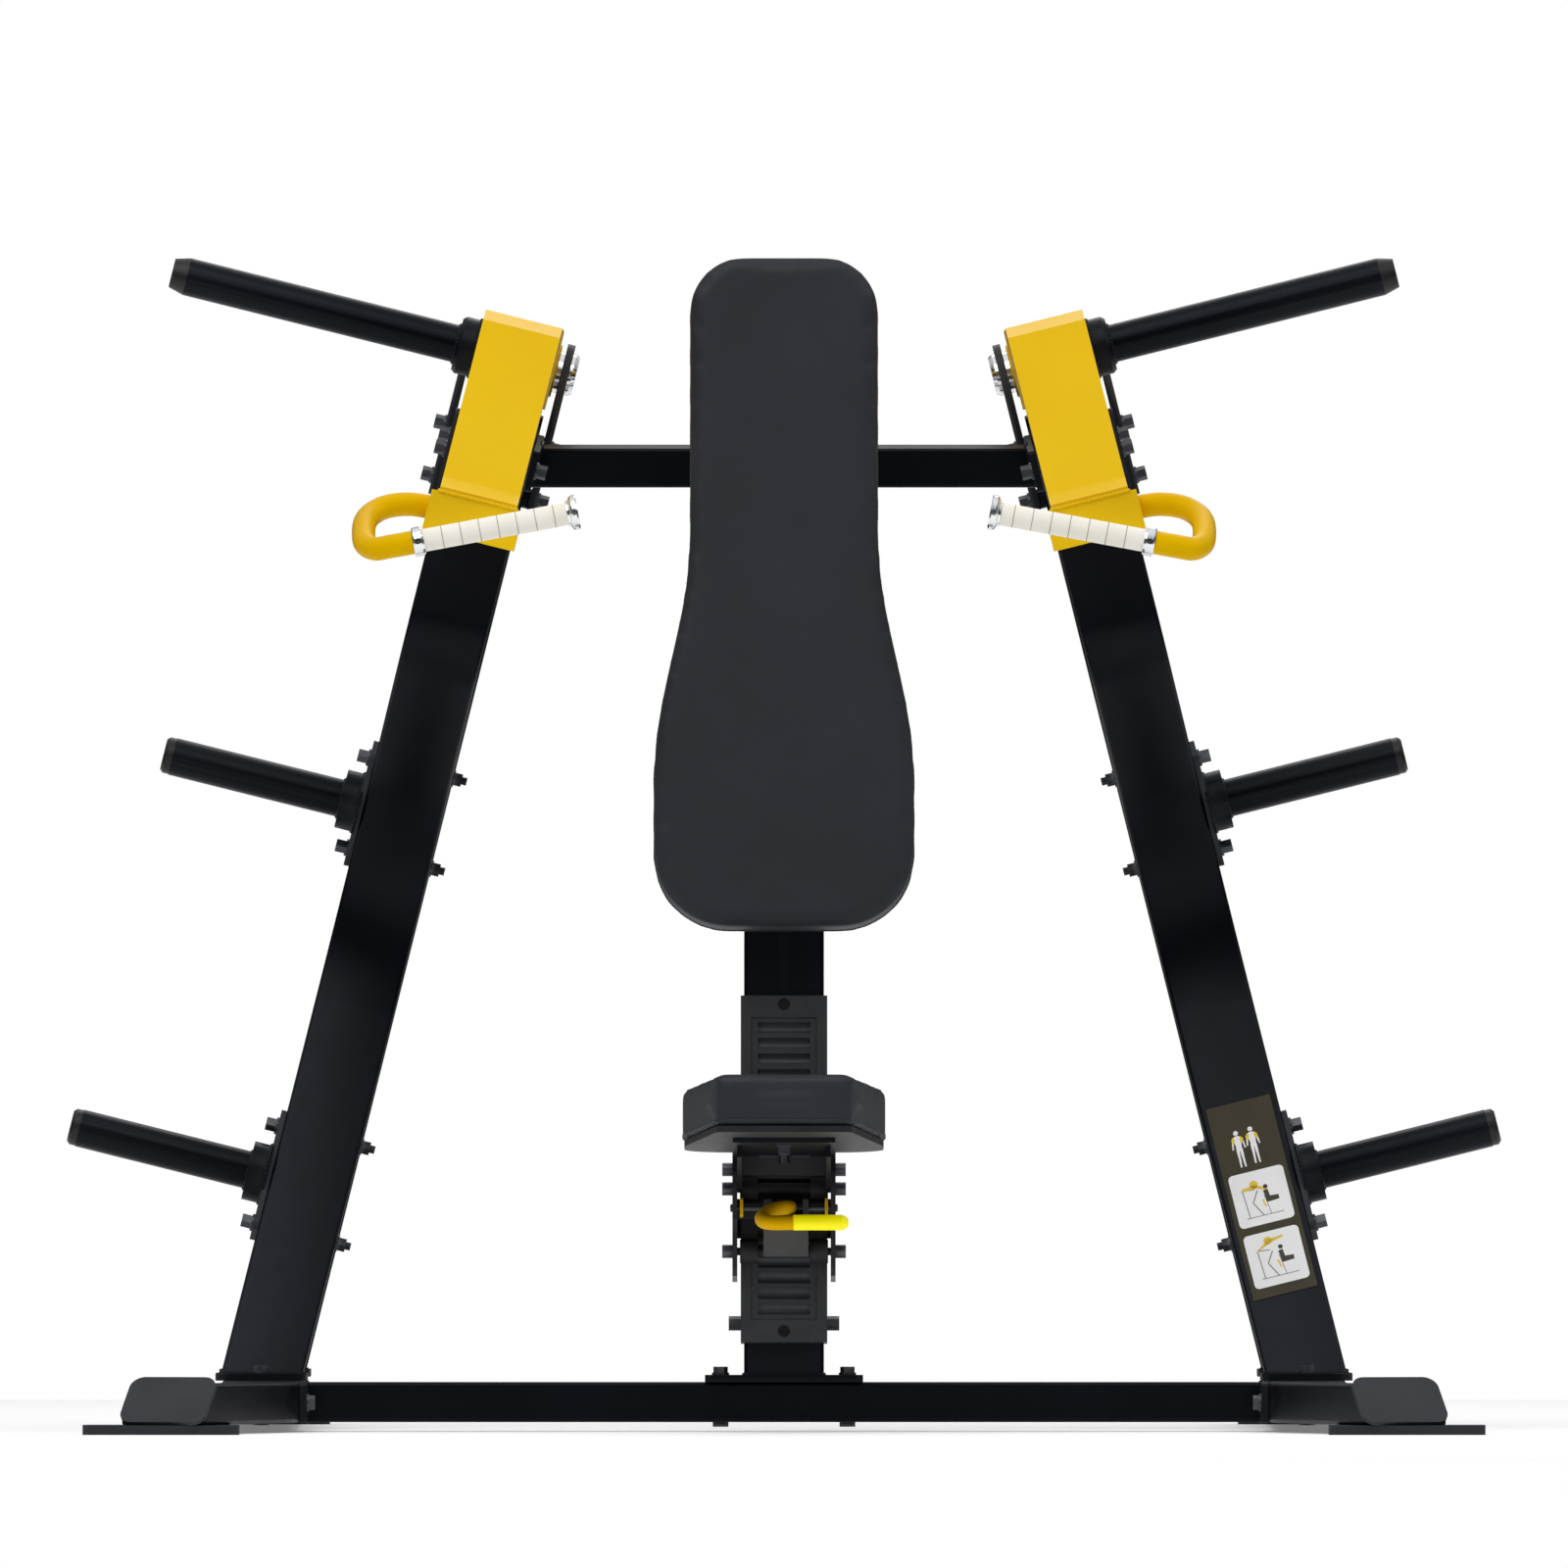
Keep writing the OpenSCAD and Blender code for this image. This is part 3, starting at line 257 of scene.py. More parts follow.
FRONT_FOOT_Y, REAR_FOOT_Y = -0.015, 0.575
weld("post_foot_welds",
     [foot_ring(side, y, tilt) for side in (-1, 1)
      for y, tilt in ((FRONT_FOOT_Y, radians(-25)), (REAR_FOOT_Y, radians(5)))],
     black_coat, "frame")

LOWER_BEAM_Y = -0.3
RAIL_MID_Z = 0.012 + TUBE_D / 2
LOWER_END_X = RAIL_X - TUBE_W / 2 - FLANGE_T
weld("lower_crossbeam_welds",
     [[Vector((side * LOWER_END_X, LOWER_BEAM_Y + a, RAIL_MID_Z + b))
       for a, b in ring(TUBE_D, TUBE_D)] for side in (-1, 1)], black_coat, "frame")

CROSS_Y, CROSS_UP, BEAM_TILT = 0.22, 1.2842, radians(6.5)
CROSS_FACE = TUBE_W / 2 + 0.008
weld("upper_crossbeam_welds",
     [[leaning(side, -CROSS_FACE, CROSS_Y + a * cos(BEAM_TILT) - b * sin(BEAM_TILT),
               CROSS_UP + 0.0003 + a * sin(BEAM_TILT) + b * cos(BEAM_TILT))
       for a, b in ring(TUBE_D, TUBE_D * 1.02)] for side in (-1, 1)], black_coat, "frame")

POST_LEAN = radians(6.5)


def seat_post_point(x, y, z):
    """A point given in the leaning seat post's own space: across, back and along the post."""
    return Vector((x, LOWER_BEAM_Y + y * cos(POST_LEAN) + z * sin(POST_LEAN),
                   POST_FOOT_Z + z * cos(POST_LEAN) - y * sin(POST_LEAN)))


weld("seat_post_welds", [[seat_post_point(a, b, 0.0005 + b * tan(POST_LEAN))
                          for a, b in ring(TUBE_W, TUBE_D)]], black_coat, "frame")


# ---- Bolted plates: nose plates, gussets, forks, carriage sides ----------------------------
# Laser-cut steel plate, coated in a slightly greyer satin than the tubes, so that the plates
# stand out from them. The nose plates close the sloping front ends of the rails.
plate_coat = powder_coat("grey_plate_coat", (0.0105, 0.0118, 0.0148), (0.0155, 0.0172, 0.0212),
                         (0.09, 0.09, 0.095), 0.44, 0.12, gloss=0.12)
dark_plate_coat = powder_coat("dark_plate_coat", (0.006, 0.0065, 0.008), (0.011, 0.0115, 0.014),
                              (0.06, 0.06, 0.065), 0.42, 0.12)
dress(plate_coat, "nose_plates", "fork_plates", "carriage_cross")
dress(dark_plate_coat, "gusset_plates", "storage_flanges", "carriage_plates")


# ---- Bolts and axles -----------------------------------------------------------------------
# Hexagon bolts with washers, in blackened steel with bright wrench marks on the corners, and
# the ground steel axles that the arms turn on. The axle caps are polished chrome.

def bolt_finish(name, deep, light, rough, metallic=0.85):
    """Bare or blackened steel with fine turning marks and grime."""
    material, tree, shader = shader_of(name)
    tint = ramp(tree, spots(tree, 60, 5), [(0.3, deep), (0.75, light)])
    tree.links.new(worn_edges(tree, tint, tuple(min(1, 4 * c) for c in light), 0.6),
                   shader.inputs["Base Color"])
    shader.inputs["Metallic"].default_value = metallic
    tree.links.new(span(tree, spots(tree, 240, 4), rough - 0.08, rough + 0.12),
                   shader.inputs["Roughness"])
    bumped(tree, shader, spots(tree, 1500, 2), 0.12, 0.0002)
    return material


black_steel = bolt_finish("blackened_steel", (0.018, 0.019, 0.022), (0.045, 0.047, 0.052), 0.42)
black_oxide = bolt_finish("black_oxide", (0.0015, 0.0015, 0.0018), (0.004, 0.004, 0.0045), 0.4,
                          0.3)
dress(black_steel, "frame_bolts", "horn_bolts", "roller_bolts")
dress(bolt_finish("ground_steel", (0.42, 0.42, 0.43), (0.6, 0.6, 0.61), 0.24, 1.0), "arm_axles")


def chrome_finish():
    """Polished chrome with very faint haze and fingermarks."""
    material, tree, shader = shader_of("polished_chrome")
    tint = ramp(tree, spots(tree, 18, 3), [(0.3, (0.74, 0.75, 0.77)), (0.7, (0.84, 0.85, 0.86))])
    tree.links.new(tint, shader.inputs["Base Color"])
    shader.inputs["Metallic"].default_value = 1.0
    tree.links.new(span(tree, spots(tree, 42, 6), 0.06, 0.2), shader.inputs["Roughness"])
    bumped(tree, shader, spots(tree, 300, 2), 0.03, 0.0002)
    return material


chrome = chrome_finish()
dress(chrome, "axle_caps", "grip_collars_left", "grip_collars_right")


# ---- Front posts ---------------------------------------------------------------------------
# Each front post is one length of the same tube, bent backwards round a wide knee and upright
# again under the top beam, and coated like the rest of the frame.
LOW_TILT, UP_TILT, KNEE_R, KNEE_UP = radians(25), radians(50), 0.28, 0.66
LOW_UP = KNEE_UP - KNEE_R * sin(LOW_TILT)
KNEE_MID_Y = FRONT_FOOT_Y + (LOW_UP - POST_FOOT_Z) * tan(LOW_TILT) - KNEE_R * cos(LOW_TILT)
BEND_UP, BEND_R, ABOVE_BEAM = 1.0, 0.09, 1.3
KNEE_STEPS, BEND_STEPS, WALL = 40, 20, 0.003


def front_post_at(up):
    """Depth and tilt of the front post's middle line at a height in the side plane."""
    if up < LOW_UP:
        return FRONT_FOOT_Y + (up - POST_FOOT_Z) * tan(LOW_TILT), -LOW_TILT
    if up < KNEE_UP + KNEE_R * sin(UP_TILT):
        rise = up - KNEE_UP
        reach = sqrt(KNEE_R ** 2 - rise ** 2)
        return KNEE_MID_Y + reach, atan2(rise, reach)
    above = up - KNEE_UP - KNEE_R * sin(UP_TILT)
    return KNEE_MID_Y + KNEE_R * cos(UP_TILT) - above * tan(UP_TILT), UP_TILT


def face_outwards(piece, join=0):
    """Turns every face of a piece outwards, with points closer than join made one."""
    knit = bmesh.new()
    knit.from_mesh(piece.data)
    if join:
        bmesh.ops.remove_doubles(knit, verts=knit.verts, dist=join)
    bmesh.ops.recalc_face_normals(knit, faces=knit.faces)
    knit.to_mesh(piece.data)
    knit.free()


def front_post_tube(side, hand):
    """The bent front post: rings of its outer and inner skin from the foot to the top beam."""
    top_y = front_post_at(BEND_UP)[0]
    line = [(FRONT_FOOT_Y, POST_FOOT_Z, -LOW_TILT)]
    for i in range(KNEE_STEPS + 1):
        turn = -LOW_TILT + (LOW_TILT + UP_TILT) * i / KNEE_STEPS
        line.append((KNEE_MID_Y + KNEE_R * cos(turn), KNEE_UP + KNEE_R * sin(turn), turn))
    for i in range(BEND_STEPS + 1):
        turn = UP_TILT * (1 - i / BEND_STEPS)
        line.append((top_y - BEND_R * (cos(turn) - cos(UP_TILT)),
                     BEND_UP + BEND_R * (sin(UP_TILT) - sin(turn)), turn))
    line.append((line[-1][0], ABOVE_BEAM, 0))
    skins = ((TUBE_W, TUBE_D, CORNER),
             (TUBE_W - 2 * WALL, TUBE_D - 2 * WALL, CORNER - WALL / 2))
    points, faces = [], []
    for i, (y, up, tilt) in enumerate(line):
        for w, d, r in skins:
            for out, v in ring(w, d, r):
                at_y, at_up = y + v * cos(tilt), up + v * sin(tilt)
                if i == 0:
                    foot = (POST_FOOT_Z - out * sin(LEAN)) / cos(LEAN)
                    at_y, at_up = at_y - (foot - at_up) * tan(tilt), foot
                if i == len(line) - 1:
                    under = (at_y - CROSS_Y) * sin(BEAM_TILT) - TUBE_D / 2
                    at_up = CROSS_UP + under / cos(BEAM_TILT)
                points.append(leaning(side, out, at_y, at_up))
    m = len(ring(TUBE_W, TUBE_D))
    for i in range(len(line) - 1):
        for k in range(m):
            q, a, b = (k + 1) % m, 2 * m * i, 2 * m * (i + 1)
            faces += [(a + k, a + q, b + q, b + k), (a + m + k, b + m + k, b + m + q, a + m + q)]
    end = 2 * m * (len(line) - 1)
    for k in range(m):
        q = (k + 1) % m
        faces += [(k, m + k, m + q, q), (end + k, end + q, end + m + q, end + m + k)]
    post = mesh_piece(f"front_post_tube_{hand}", points, faces, black_coat, "frame")
    face_outwards(post)
    post.data.set_sharp_from_angle(angle=radians(40))
    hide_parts(f"front_post_{hand}")


front_post_tube(-1, "left")
front_post_tube(1, "right")


# ---- Storage horns -------------------------------------------------------------------------
# Four short pipe horns keep spare plates. Each is welded to a thick collar and a flange that
# is bolted through the front post, and ends in a moulded plug.
HORN_R, COLLAR_R, COLLAR_T = 0.02415, 0.038, 0.023


def horn_ring(side, out, y, up, radius, steps=40):
    """A circle round a horn's axis, which points straight outwards in the side plane."""
    return [leaning(side, out, y + radius * cos(2 * pi * k / steps),
                    up + radius * sin(2 * pi * k / steps)) for k in range(steps)]


STORE_UPS = (0.809, 0.32)
store_face = TUBE_W / 2 + 0.007
weld("storage_horn_welds",
     [horn_ring(side, store_face + lift, front_post_at(up)[0], up, radius)
      for side in (-1, 1) for up in STORE_UPS
      for lift, radius in ((0.0005, COLLAR_R), (COLLAR_T, HORN_R))], black_coat, "frame")


def moulded(name, deep, light, rough, grain=0.2, grain_size=420):
    """Moulded plastic or rubber with a fine cast grain."""
    material, tree, shader = shader_of(name)
    tint = ramp(tree, spots(tree, 22, 4), [(0.3, deep), (0.75, light)])
    tree.links.new(tint, shader.inputs["Base Color"])
    tree.links.new(span(tree, spots(tree, 70, 4), rough - 0.06, rough + 0.08),
                   shader.inputs["Roughness"])
    shader.inputs["Specular IOR Level"].default_value = 0.35
    bumped(tree, shader, spots(tree, grain_size, 3), grain, 0.0004)
    return material


plug_plastic = moulded("black_plug_plastic", (0.004, 0.0042, 0.005), (0.009, 0.0092, 0.01), 0.42)
dress(plug_plastic, "storage_plugs", "tube_end_caps", "horn_cap_left", "horn_cap_right")
dress(moulded("stop_rubber", (0.006, 0.006, 0.006), (0.014, 0.014, 0.014), 0.75, 0.35, 250),
      "stop_pads")


# ---- Press arms ----------------------------------------------------------------------------
# Square steel arms in a glossy yellow powder coat. Each turns on a welded hub, carries a black
# weight horn and slopes down at the nose to a toe that holds the handle box.
arm_coat = powder_coat("yellow_powder_coat", (0.78, 0.445, 0.0003), (0.83, 0.49, 0.0006),
                       (0.88, 0.6, 0.02), 0.3, 0.14, glint=(1, 0.78, 0.01), gloss=0.12)
for side, hand in ((-1, "left"), (1, "right")):
    dress(arm_coat, f"arm_beam_{hand}", f"arm_hub_{hand}", f"handle_box_{hand}")
    dress(black_coat, f"arm_horn_{hand}")

PIVOT_Y, PIVOT_UP = 0.47, 1.4066
HORN_Y = PIVOT_Y - 0.664
ARM_HALF_W = 0.0503
NOSE_Y = HORN_Y - 0.045
CREASE_Y = NOSE_Y - 0.22
TOE_Y = CREASE_Y - 0.045
BOX_W, BOX_DEPTH = 0.12, 0.07
BOX_Y = TOE_Y + BOX_DEPTH / 2 - 0.004
BOX_HIGH = 1.219
for side, hand in ((-1, "left"), (1, "right")):
    weld(f"arm_horn_weld_{hand}",
         [horn_ring(side, ARM_HALF_W + lift, HORN_Y, PIVOT_UP, radius)
          for lift, radius in ((0.001, 0.037), (0.0255, HORN_R))], black_coat, f"{hand}_arm")
    box_top = [leaning(side, out, BOX_Y + v, BOX_HIGH)
               for out, v in ((-ARM_HALF_W, -BOX_DEPTH / 2), (-ARM_HALF_W, BOX_DEPTH / 2),
                              (ARM_HALF_W, BOX_DEPTH / 2), (ARM_HALF_W, -BOX_DEPTH / 2))]
    weld(f"handle_box_weld_{hand}", [box_top], arm_coat, f"{hand}_arm")


# ---- Handles -------------------------------------------------------------------------------
# A round bar leaves the outer side of the box, turns forward in a U and comes back inwards
# under a ribbed rubber grip. Chrome collars hold the grip, the outer one with a set screw.
BAR_R = 0.015
GRIP_Y = TOE_Y - 0.095
GRIP_OUTER, GRIP_INNER = Vector((0.47, GRIP_Y, 1.129)), Vector((0.263, GRIP_Y, 1.1675))
handle_line = [Vector(p) for p in (
    (0.447, BOX_Y, 1.174), (0.475, BOX_Y, 1.178), (0.503, BOX_Y - 0.002, 1.175),
    (0.522, BOX_Y - 0.016, 1.166), (0.531, BOX_Y - 0.04, 1.155), (0.533, BOX_Y - 0.072, 1.14),
    (0.53, BOX_Y - 0.1, 1.127), (0.518, GRIP_Y + 0.008, 1.121), (0.498, GRIP_Y, 1.124))]
handle_line.append(GRIP_OUTER)


def flowing(points, steps):
    """A smooth line through the points."""
    line = []
    for i in range(len(points) - 1):
        a, b, c, d = (points[min(max(k, 0), len(points) - 1)] for k in (i - 1, i, i + 1, i + 2))
        for j in range(steps):
            t = j / steps
            line.append((b * 2 + (c - a) * t + (a * 2 - b * 5 + c * 4 - d) * t * t
                         + (b * 3 - a - c * 3 + d) * t ** 3) / 2)
    return line + [points[-1]]


def bar_faces(rings, corners):
    """Faces that join rings of points, first to last, into a bar with closed ends."""
    faces = [(i * corners + k, i * corners + (k + 1) % corners,
              (i + 1) * corners + (k + 1) % corners, (i + 1) * corners + k)
             for i in range(rings - 1) for k in range(corners)]
    last = (rings - 1) * corners
    return faces + [tuple(range(corners))[::-1], tuple(range(last, last + corners))]


def swept_bar(name, line, radius, material, body, sides=32):
    """A smooth round bar along a line, with closed ends."""
    points = []
    for i, place in enumerate(line):
        along = (line[min(i + 1, len(line) - 1)] - line[max(i - 1, 0)]).normalized()
        across = along.cross(Vector((0, 0, 1))).normalized()
        over = across.cross(along)
        points += [place + radius * (cos(2 * pi * k / sides) * across
                                     + sin(2 * pi * k / sides) * over) for k in range(sides)]
    return mesh_piece(name, points, bar_faces(len(line), sides), material, body)


def socket_screw(name, place, facing, radius, body):
    """A small screw with a chamfered rim and a hexagon socket."""
    across = facing.cross(Vector((0, 1, 0.2))).normalized()
    over = facing.cross(across)
    rims = ((radius, -0.001, 24), (radius, 0.0012, 24), (radius * 0.86, 0.0018, 24),
            (radius * 0.52, 0.0018, 6), (radius * 0.52, 0.0002, 6))
    points = []
    for size, lift, corners in rims:
        for k in range(24):
            turn = 2 * pi * (k - k % (24 // corners)) / 24
            points.append(place + facing * lift + size * (cos(turn) * across + sin(turn) * over))
    piece = mesh_piece(name, points, bar_faces(len(rims), 24), black_oxide, body, smooth=False)
    face_outwards(piece, join=1e-6)


grip_rubber = moulded("cream_grip_rubber", (0.95, 0.91, 0.79), (1.0, 0.97, 0.88), 0.7, 0.3, 700)
# The dark rings laid in the grip's grooves are painted shade: they stand for the shadow that falls in
# each narrow groove.
groove_shade = moulded("painted_groove_shade", (0.4, 0.37, 0.28), (0.5, 0.46, 0.36), 0.8, 0.3,
                        700)
GROOVE_FIRST, GROOVE_STEP, GROOVE_R, GROOVE_COUNT = 0.038, 0.024, 0.0139, 7
COLLAR_MID, COLLAR_SCREW_OUT, COLLAR_SCREW_R = 0.0065, 0.0178, 0.0034
for side, hand in ((-1, "left"), (1, "right")):
    dress(grip_rubber, f"grip_{hand}")
    line = [Vector((side * p.x, p.y, p.z)) for p in flowing(handle_line, 10)]
    wall = [p for p in line if (abs(p.x) - FOOT_X) * cos(LEAN) + p.z * sin(LEAN) > BOX_W / 2 - 0.004
            or p.y < BOX_Y - 0.03]
    bar = swept_bar(f"handle_bar_{hand}", wall, BAR_R, arm_coat, f"{hand}_arm")
    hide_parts(f"handle_loop_{hand}")
    run = GRIP_INNER - GRIP_OUTER
    run.x *= side
    along = run.normalized()
    outer_end = Vector((side * GRIP_OUTER.x, GRIP_OUTER.y, GRIP_OUTER.z))
    facing = Vector((0, -1, 0))
    socket_screw(f"collar_screw_{hand}", outer_end + along * COLLAR_MID + facing * COLLAR_SCREW_OUT,
                 facing, COLLAR_SCREW_R, f"{hand}_arm")
    across = along.cross(facing).normalized()
    over = along.cross(across)
    # Painted shade: a thin dark ring at the bottom of each groove of the grip.
    grooves = [[outer_end + along * (GROOVE_FIRST + GROOVE_STEP * i)
                + GROOVE_R * (cos(2 * pi * k / 40) * across + sin(2 * pi * k / 40) * over)
                for k in range(40)] for i in range(GROOVE_COUNT)]
    lines = mesh_piece(f"grip_grooves_{hand}", *beads(grooves, 0.0007, ripple=0, step=0.003),
                       groove_shade, f"{hand}_arm")


# ---- Back pad and seat pad -----------------------------------------------------------------
# Firm moulded foam on a plywood board, wrapped in slate-black synthetic leather with a fine
# pebble grain. The cover is pulled over the front edge and stapled under the board, and a
# thin welt runs round the rear edge.

def leather_finish():
    """Matt synthetic leather: pebble grain, slight mottling and soft sheen."""
    material, tree, shader = shader_of("slate_leather")
    tint = ramp(tree, spots(tree, 7, 6), [(0.3, (0.0135, 0.0165, 0.0222)),
                                           (0.7, (0.0175, 0.0213, 0.0278))])
    tree.links.new(tint, shader.inputs["Base Color"])
    tree.links.new(span(tree, spots(tree, 26, 5), 0.5, 0.62), shader.inputs["Roughness"])
    shader.inputs["Specular IOR Level"].default_value = 0.32
    shader.inputs["Sheen Weight"].default_value = 0.03
    place = tree.nodes.new("ShaderNodeTexCoord")
    pebble = tree.nodes.new("ShaderNodeTexVoronoi")
    pebble.feature = "DISTANCE_TO_EDGE"
    pebble.inputs["Scale"].default_value = 620
    tree.links.new(place.outputs["Object"], pebble.inputs["Vector"])
    bumped(tree, shader, pebble.outputs["Distance"], 0.22, 0.0005)
    return material


slate_leather = leather_finish()
DENT = 0.001


def settle(piece):
    """Bakes a piece's modifiers into its mesh."""
    seen = piece.evaluated_get(bpy.context.evaluated_depsgraph_get())
    piece.data = bpy.data.meshes.new_from_object(seen)
    piece.modifiers.clear()


def swollen(name, node, voxel, shrink, cap, body):
    """A pad grown from its solid: remeshed, blown up by a cloth simulation and capped."""
    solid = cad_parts[node]
    pad = bpy.data.objects.new(name, solid.data.copy())
    bpy.context.scene.collection.objects.link(pad)
    pad.data.materials.clear()
    middle = (Vector(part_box(node)[0]) + Vector(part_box(node)[1])) / 2
    reach = (Vector(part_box(node)[1]) - Vector(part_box(node)[0])) / 2
    for v in pad.data.vertices:
        offset = v.co - middle
        v.co = middle + Vector([offset[k] * (1 - shrink / reach[k]) for k in range(3)])
    remesh = pad.modifiers.new("remesh", "REMESH")
    remesh.mode = "VOXEL"
    remesh.voxel_size = voxel
    remesh.use_smooth_shade = True
    settle(pad)
    soften = pad.modifiers.new("soften", "SMOOTH")
    soften.factor, soften.iterations = 0.5, 6
    settle(pad)
    start = [(v.co.copy(), v.normal.copy()) for v in pad.data.vertices]
    cloth = pad.modifiers.new("cloth", "CLOTH")
    cloth.settings.use_pressure = True
    cloth.settings.uniform_pressure_force = 4
    cloth.settings.effector_weights.gravity = 0
    cloth.point_cache.frame_start, cloth.point_cache.frame_end = 1, 20
    for step in range(1, 21):
        bpy.context.scene.frame_set(step)
    settle(pad)
    bpy.context.scene.frame_set(1)
    for v, (old, out) in zip(pad.data.vertices, start):
        v.co = old + out * min(max((v.co - old).dot(out), -DENT), cap)
    soften = pad.modifiers.new("soften", "SMOOTH")
    soften.factor, soften.iterations = 0.5, 4
    settle(pad)
    finer = pad.modifiers.new("finer", "SUBSURF")
    finer.levels = finer.render_levels = 1
    pad.data.materials.append(slate_leather)
    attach(pad, body)
    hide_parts(node)
    return pad


PAD_BASE, PAD_H, BOARD_T = 0.556, 0.861, 0.015
BACK_FACE_Y = -TUBE_D / 2 - 0.04 - BOARD_T


def back_half(z):
    """Half width of the back pad at a height above its lower end."""
    t = min(max((z - 0.2) / 0.3, 0), 1)
    return 0.167 - 0.0455 * (t * t * (3 - 2 * t))


def back_outline():
    """The back pad's outline as (across, up) points."""
    right = []
    for i in range(11):
        turn = radians(9 * i)
        right.append((0.072 + 0.095 * sin(turn), 0.095 - 0.095 * cos(turn)))
    right += [(back_half(0.18 + 0.024 * i), 0.18 + 0.024 * i) for i in range(1, 15)]
    for i in range(11):
        turn = radians(9 * i)
        right.append((0.0515 + 0.07 * cos(turn), PAD_H - 0.07 + 0.07 * sin(turn)))
    return right + [(-a, b) for a, b in right[::-1]]


WELT_R, WELT_LIFT, WELT_STITCH = 0.0016, 0.0004, 0.006


def welt(name, pad, line, body):
    """A thin sewn welt laid on a pad's skin."""
    skin = BVHTree.FromObject(pad, bpy.context.evaluated_depsgraph_get())
    laid = []
    for point in even_steps(line, WELT_STITCH):
        place, normal, _, _ = skin.find_nearest(point)
        laid.append(place + normal * WELT_LIFT)
    points, faces = bead(laid, WELT_R, ripple=0.05, step=0.0022, sides=8)
    piece = mesh_piece(name, points, faces, slate_leather, body)


back_pad = swollen("back_pad_cover", "back_pad", 0.0055, 0.0015, 0.003, "frame")
welt("back_pad_welt", back_pad,
     [seat_post_point(a, BACK_FACE_Y - 0.006, PAD_BASE + b) for a, b in back_outline()],
     "frame")

SEAT_TILT = radians(4.2)
SEAT_W, SEAT_LEN = 0.261, 0.39
SEAT_REAR_Y, SEAT_UNDER_Z = -0.355, 0.3625


def seat_point(x, y, z):
    """A point in the tilted seat's own space: across, back from its rear edge, and up."""
    return Vector((x, SEAT_REAR_Y + y * cos(SEAT_TILT) + z * sin(SEAT_TILT),
                   SEAT_UNDER_Z + z * cos(SEAT_TILT) - y * sin(SEAT_TILT)))


seat_pad = swollen("seat_pad_cover", "seat_pad", 0.0048, 0.001, 0.002, "seat_carriage")
seat_front = SEAT_W / 2 * 0.68
seat_edge = [(-0.07, 0), (0.07, 0), (SEAT_W / 2 - 0.01, -0.04), (SEAT_W / 2, -0.075),
             (SEAT_W / 2, -0.12), (seat_front, -SEAT_LEN + 0.016), (seat_front - 0.014, -SEAT_LEN),
             (0.014 - seat_front, -SEAT_LEN), (-seat_front, -SEAT_LEN + 0.016),
             (-SEAT_W / 2, -0.12), (-SEAT_W / 2, -0.075), (0.01 - SEAT_W / 2, -0.04)]
welt("seat_pad_welt", seat_pad, [seat_point(a, b, 0.006) for a, b in seat_edge],
     "seat_carriage")

board_film = moulded("black_board_film", (0.006, 0.0063, 0.008), (0.013, 0.0135, 0.016), 0.5,
                     0.3, 160)
dress(board_film, "back_board", "seat_board")


# ---- Seat post ladder, rollers, lever and latch --------------------------------------------
# The seat carriage rolls on rubber rollers along the post. A grey nylon block on the lever's
# black steel shaft rests in a rib of the moulded ladder until the yellow lever is lifted. Two
# socket screws in round eyelets hold the ladder.
ladder_plastic = moulded("grey_ladder_nylon", (0.03, 0.0325, 0.0365), (0.045, 0.048, 0.053), 0.45,
                         0.15, 500)
dress(ladder_plastic, "seat_ladder")
LADDER_T, LADDER_SCREWS = 0.014, (("low", 0.052), ("high", 0.47))
SCREW_R, SCREW_SINK = 0.0066, 0.0028
EYELET_R, EYELET_BAR_R, EYELET_SINK = 0.0072, 0.0011, 0.0006
to_front = seat_post_point(0, -1, 0) - seat_post_point(0, 0, 0)
for level, up in LADDER_SCREWS:
    mouth = seat_post_point(0, -TUBE_D / 2 - LADDER_T, up)
    socket_screw(f"ladder_screw_{level}", mouth - to_front * SCREW_SINK, to_front, SCREW_R, "frame")
    across = Vector((1, 0, 0))
    over = to_front.cross(across)
    rim = [mouth - to_front * EYELET_SINK
           + EYELET_R * (cos(pi * k / 20) * across + sin(pi * k / 20) * over) for k in range(40)]
    points, faces = bead(rim, EYELET_BAR_R, ripple=0, step=0.0012, sides=8)
    eyelet = mesh_piece(f"ladder_eyelet_{level}", points, faces, black_oxide, "frame")
dress(moulded("grey_latch_nylon", (0.085, 0.09, 0.096), (0.115, 0.12, 0.128), 0.42, 0.15, 500),
      "latch_pawl")
dress(moulded("roller_rubber", (0.01, 0.0102, 0.011), (0.02, 0.0205, 0.022), 0.6, 0.25, 300),
      "roller_rear", "roller_upper", "roller_lower")
lever_coat = powder_coat("amber_lever_coat", (0.86, 0.46, 0.0008), (0.92, 0.52, 0.0015),
                         (0.95, 0.66, 0.03), 0.3, 0.1, glint=(1, 0.8, 0.04))
LEVER_Y, LEVER_Z, ROD_R = -0.078, 0.205, 0.0095
rod_line = [seat_post_point(x / 1000, LEVER_Y + y / 1000, LEVER_Z + z / 1000) for x, y, z in (
    (8, 0, 0), (-1, -24, -2), (-16, -44, -8), (-27, -63, -18), (-26, -78, -25), (-14, -86, -28),
    (12, -88, -28))]
rod = swept_bar("seat_lever_rod", flowing(rod_line, 10), ROD_R, lever_coat, "seat_lever")
shaft_ends = ((-0.0684, 0.0038), (-0.0672, 0.005), (0.0672, 0.005), (0.0684, 0.0038))
shaft_points = []
for x, radius in shaft_ends:
    for k in range(32):
        turn = 2 * pi * k / 32
        shaft_points.append(seat_post_point(x, LEVER_Y + radius * cos(turn),
                                            LEVER_Z + radius * sin(turn)))
shaft = mesh_piece("seat_lever_shaft", shaft_points, bar_faces(len(shaft_ends), 32), black_steel,
                   "seat_lever")
shaft.data.set_sharp_from_angle(angle=radians(30))
cheek_points, cheek_faces = [], []
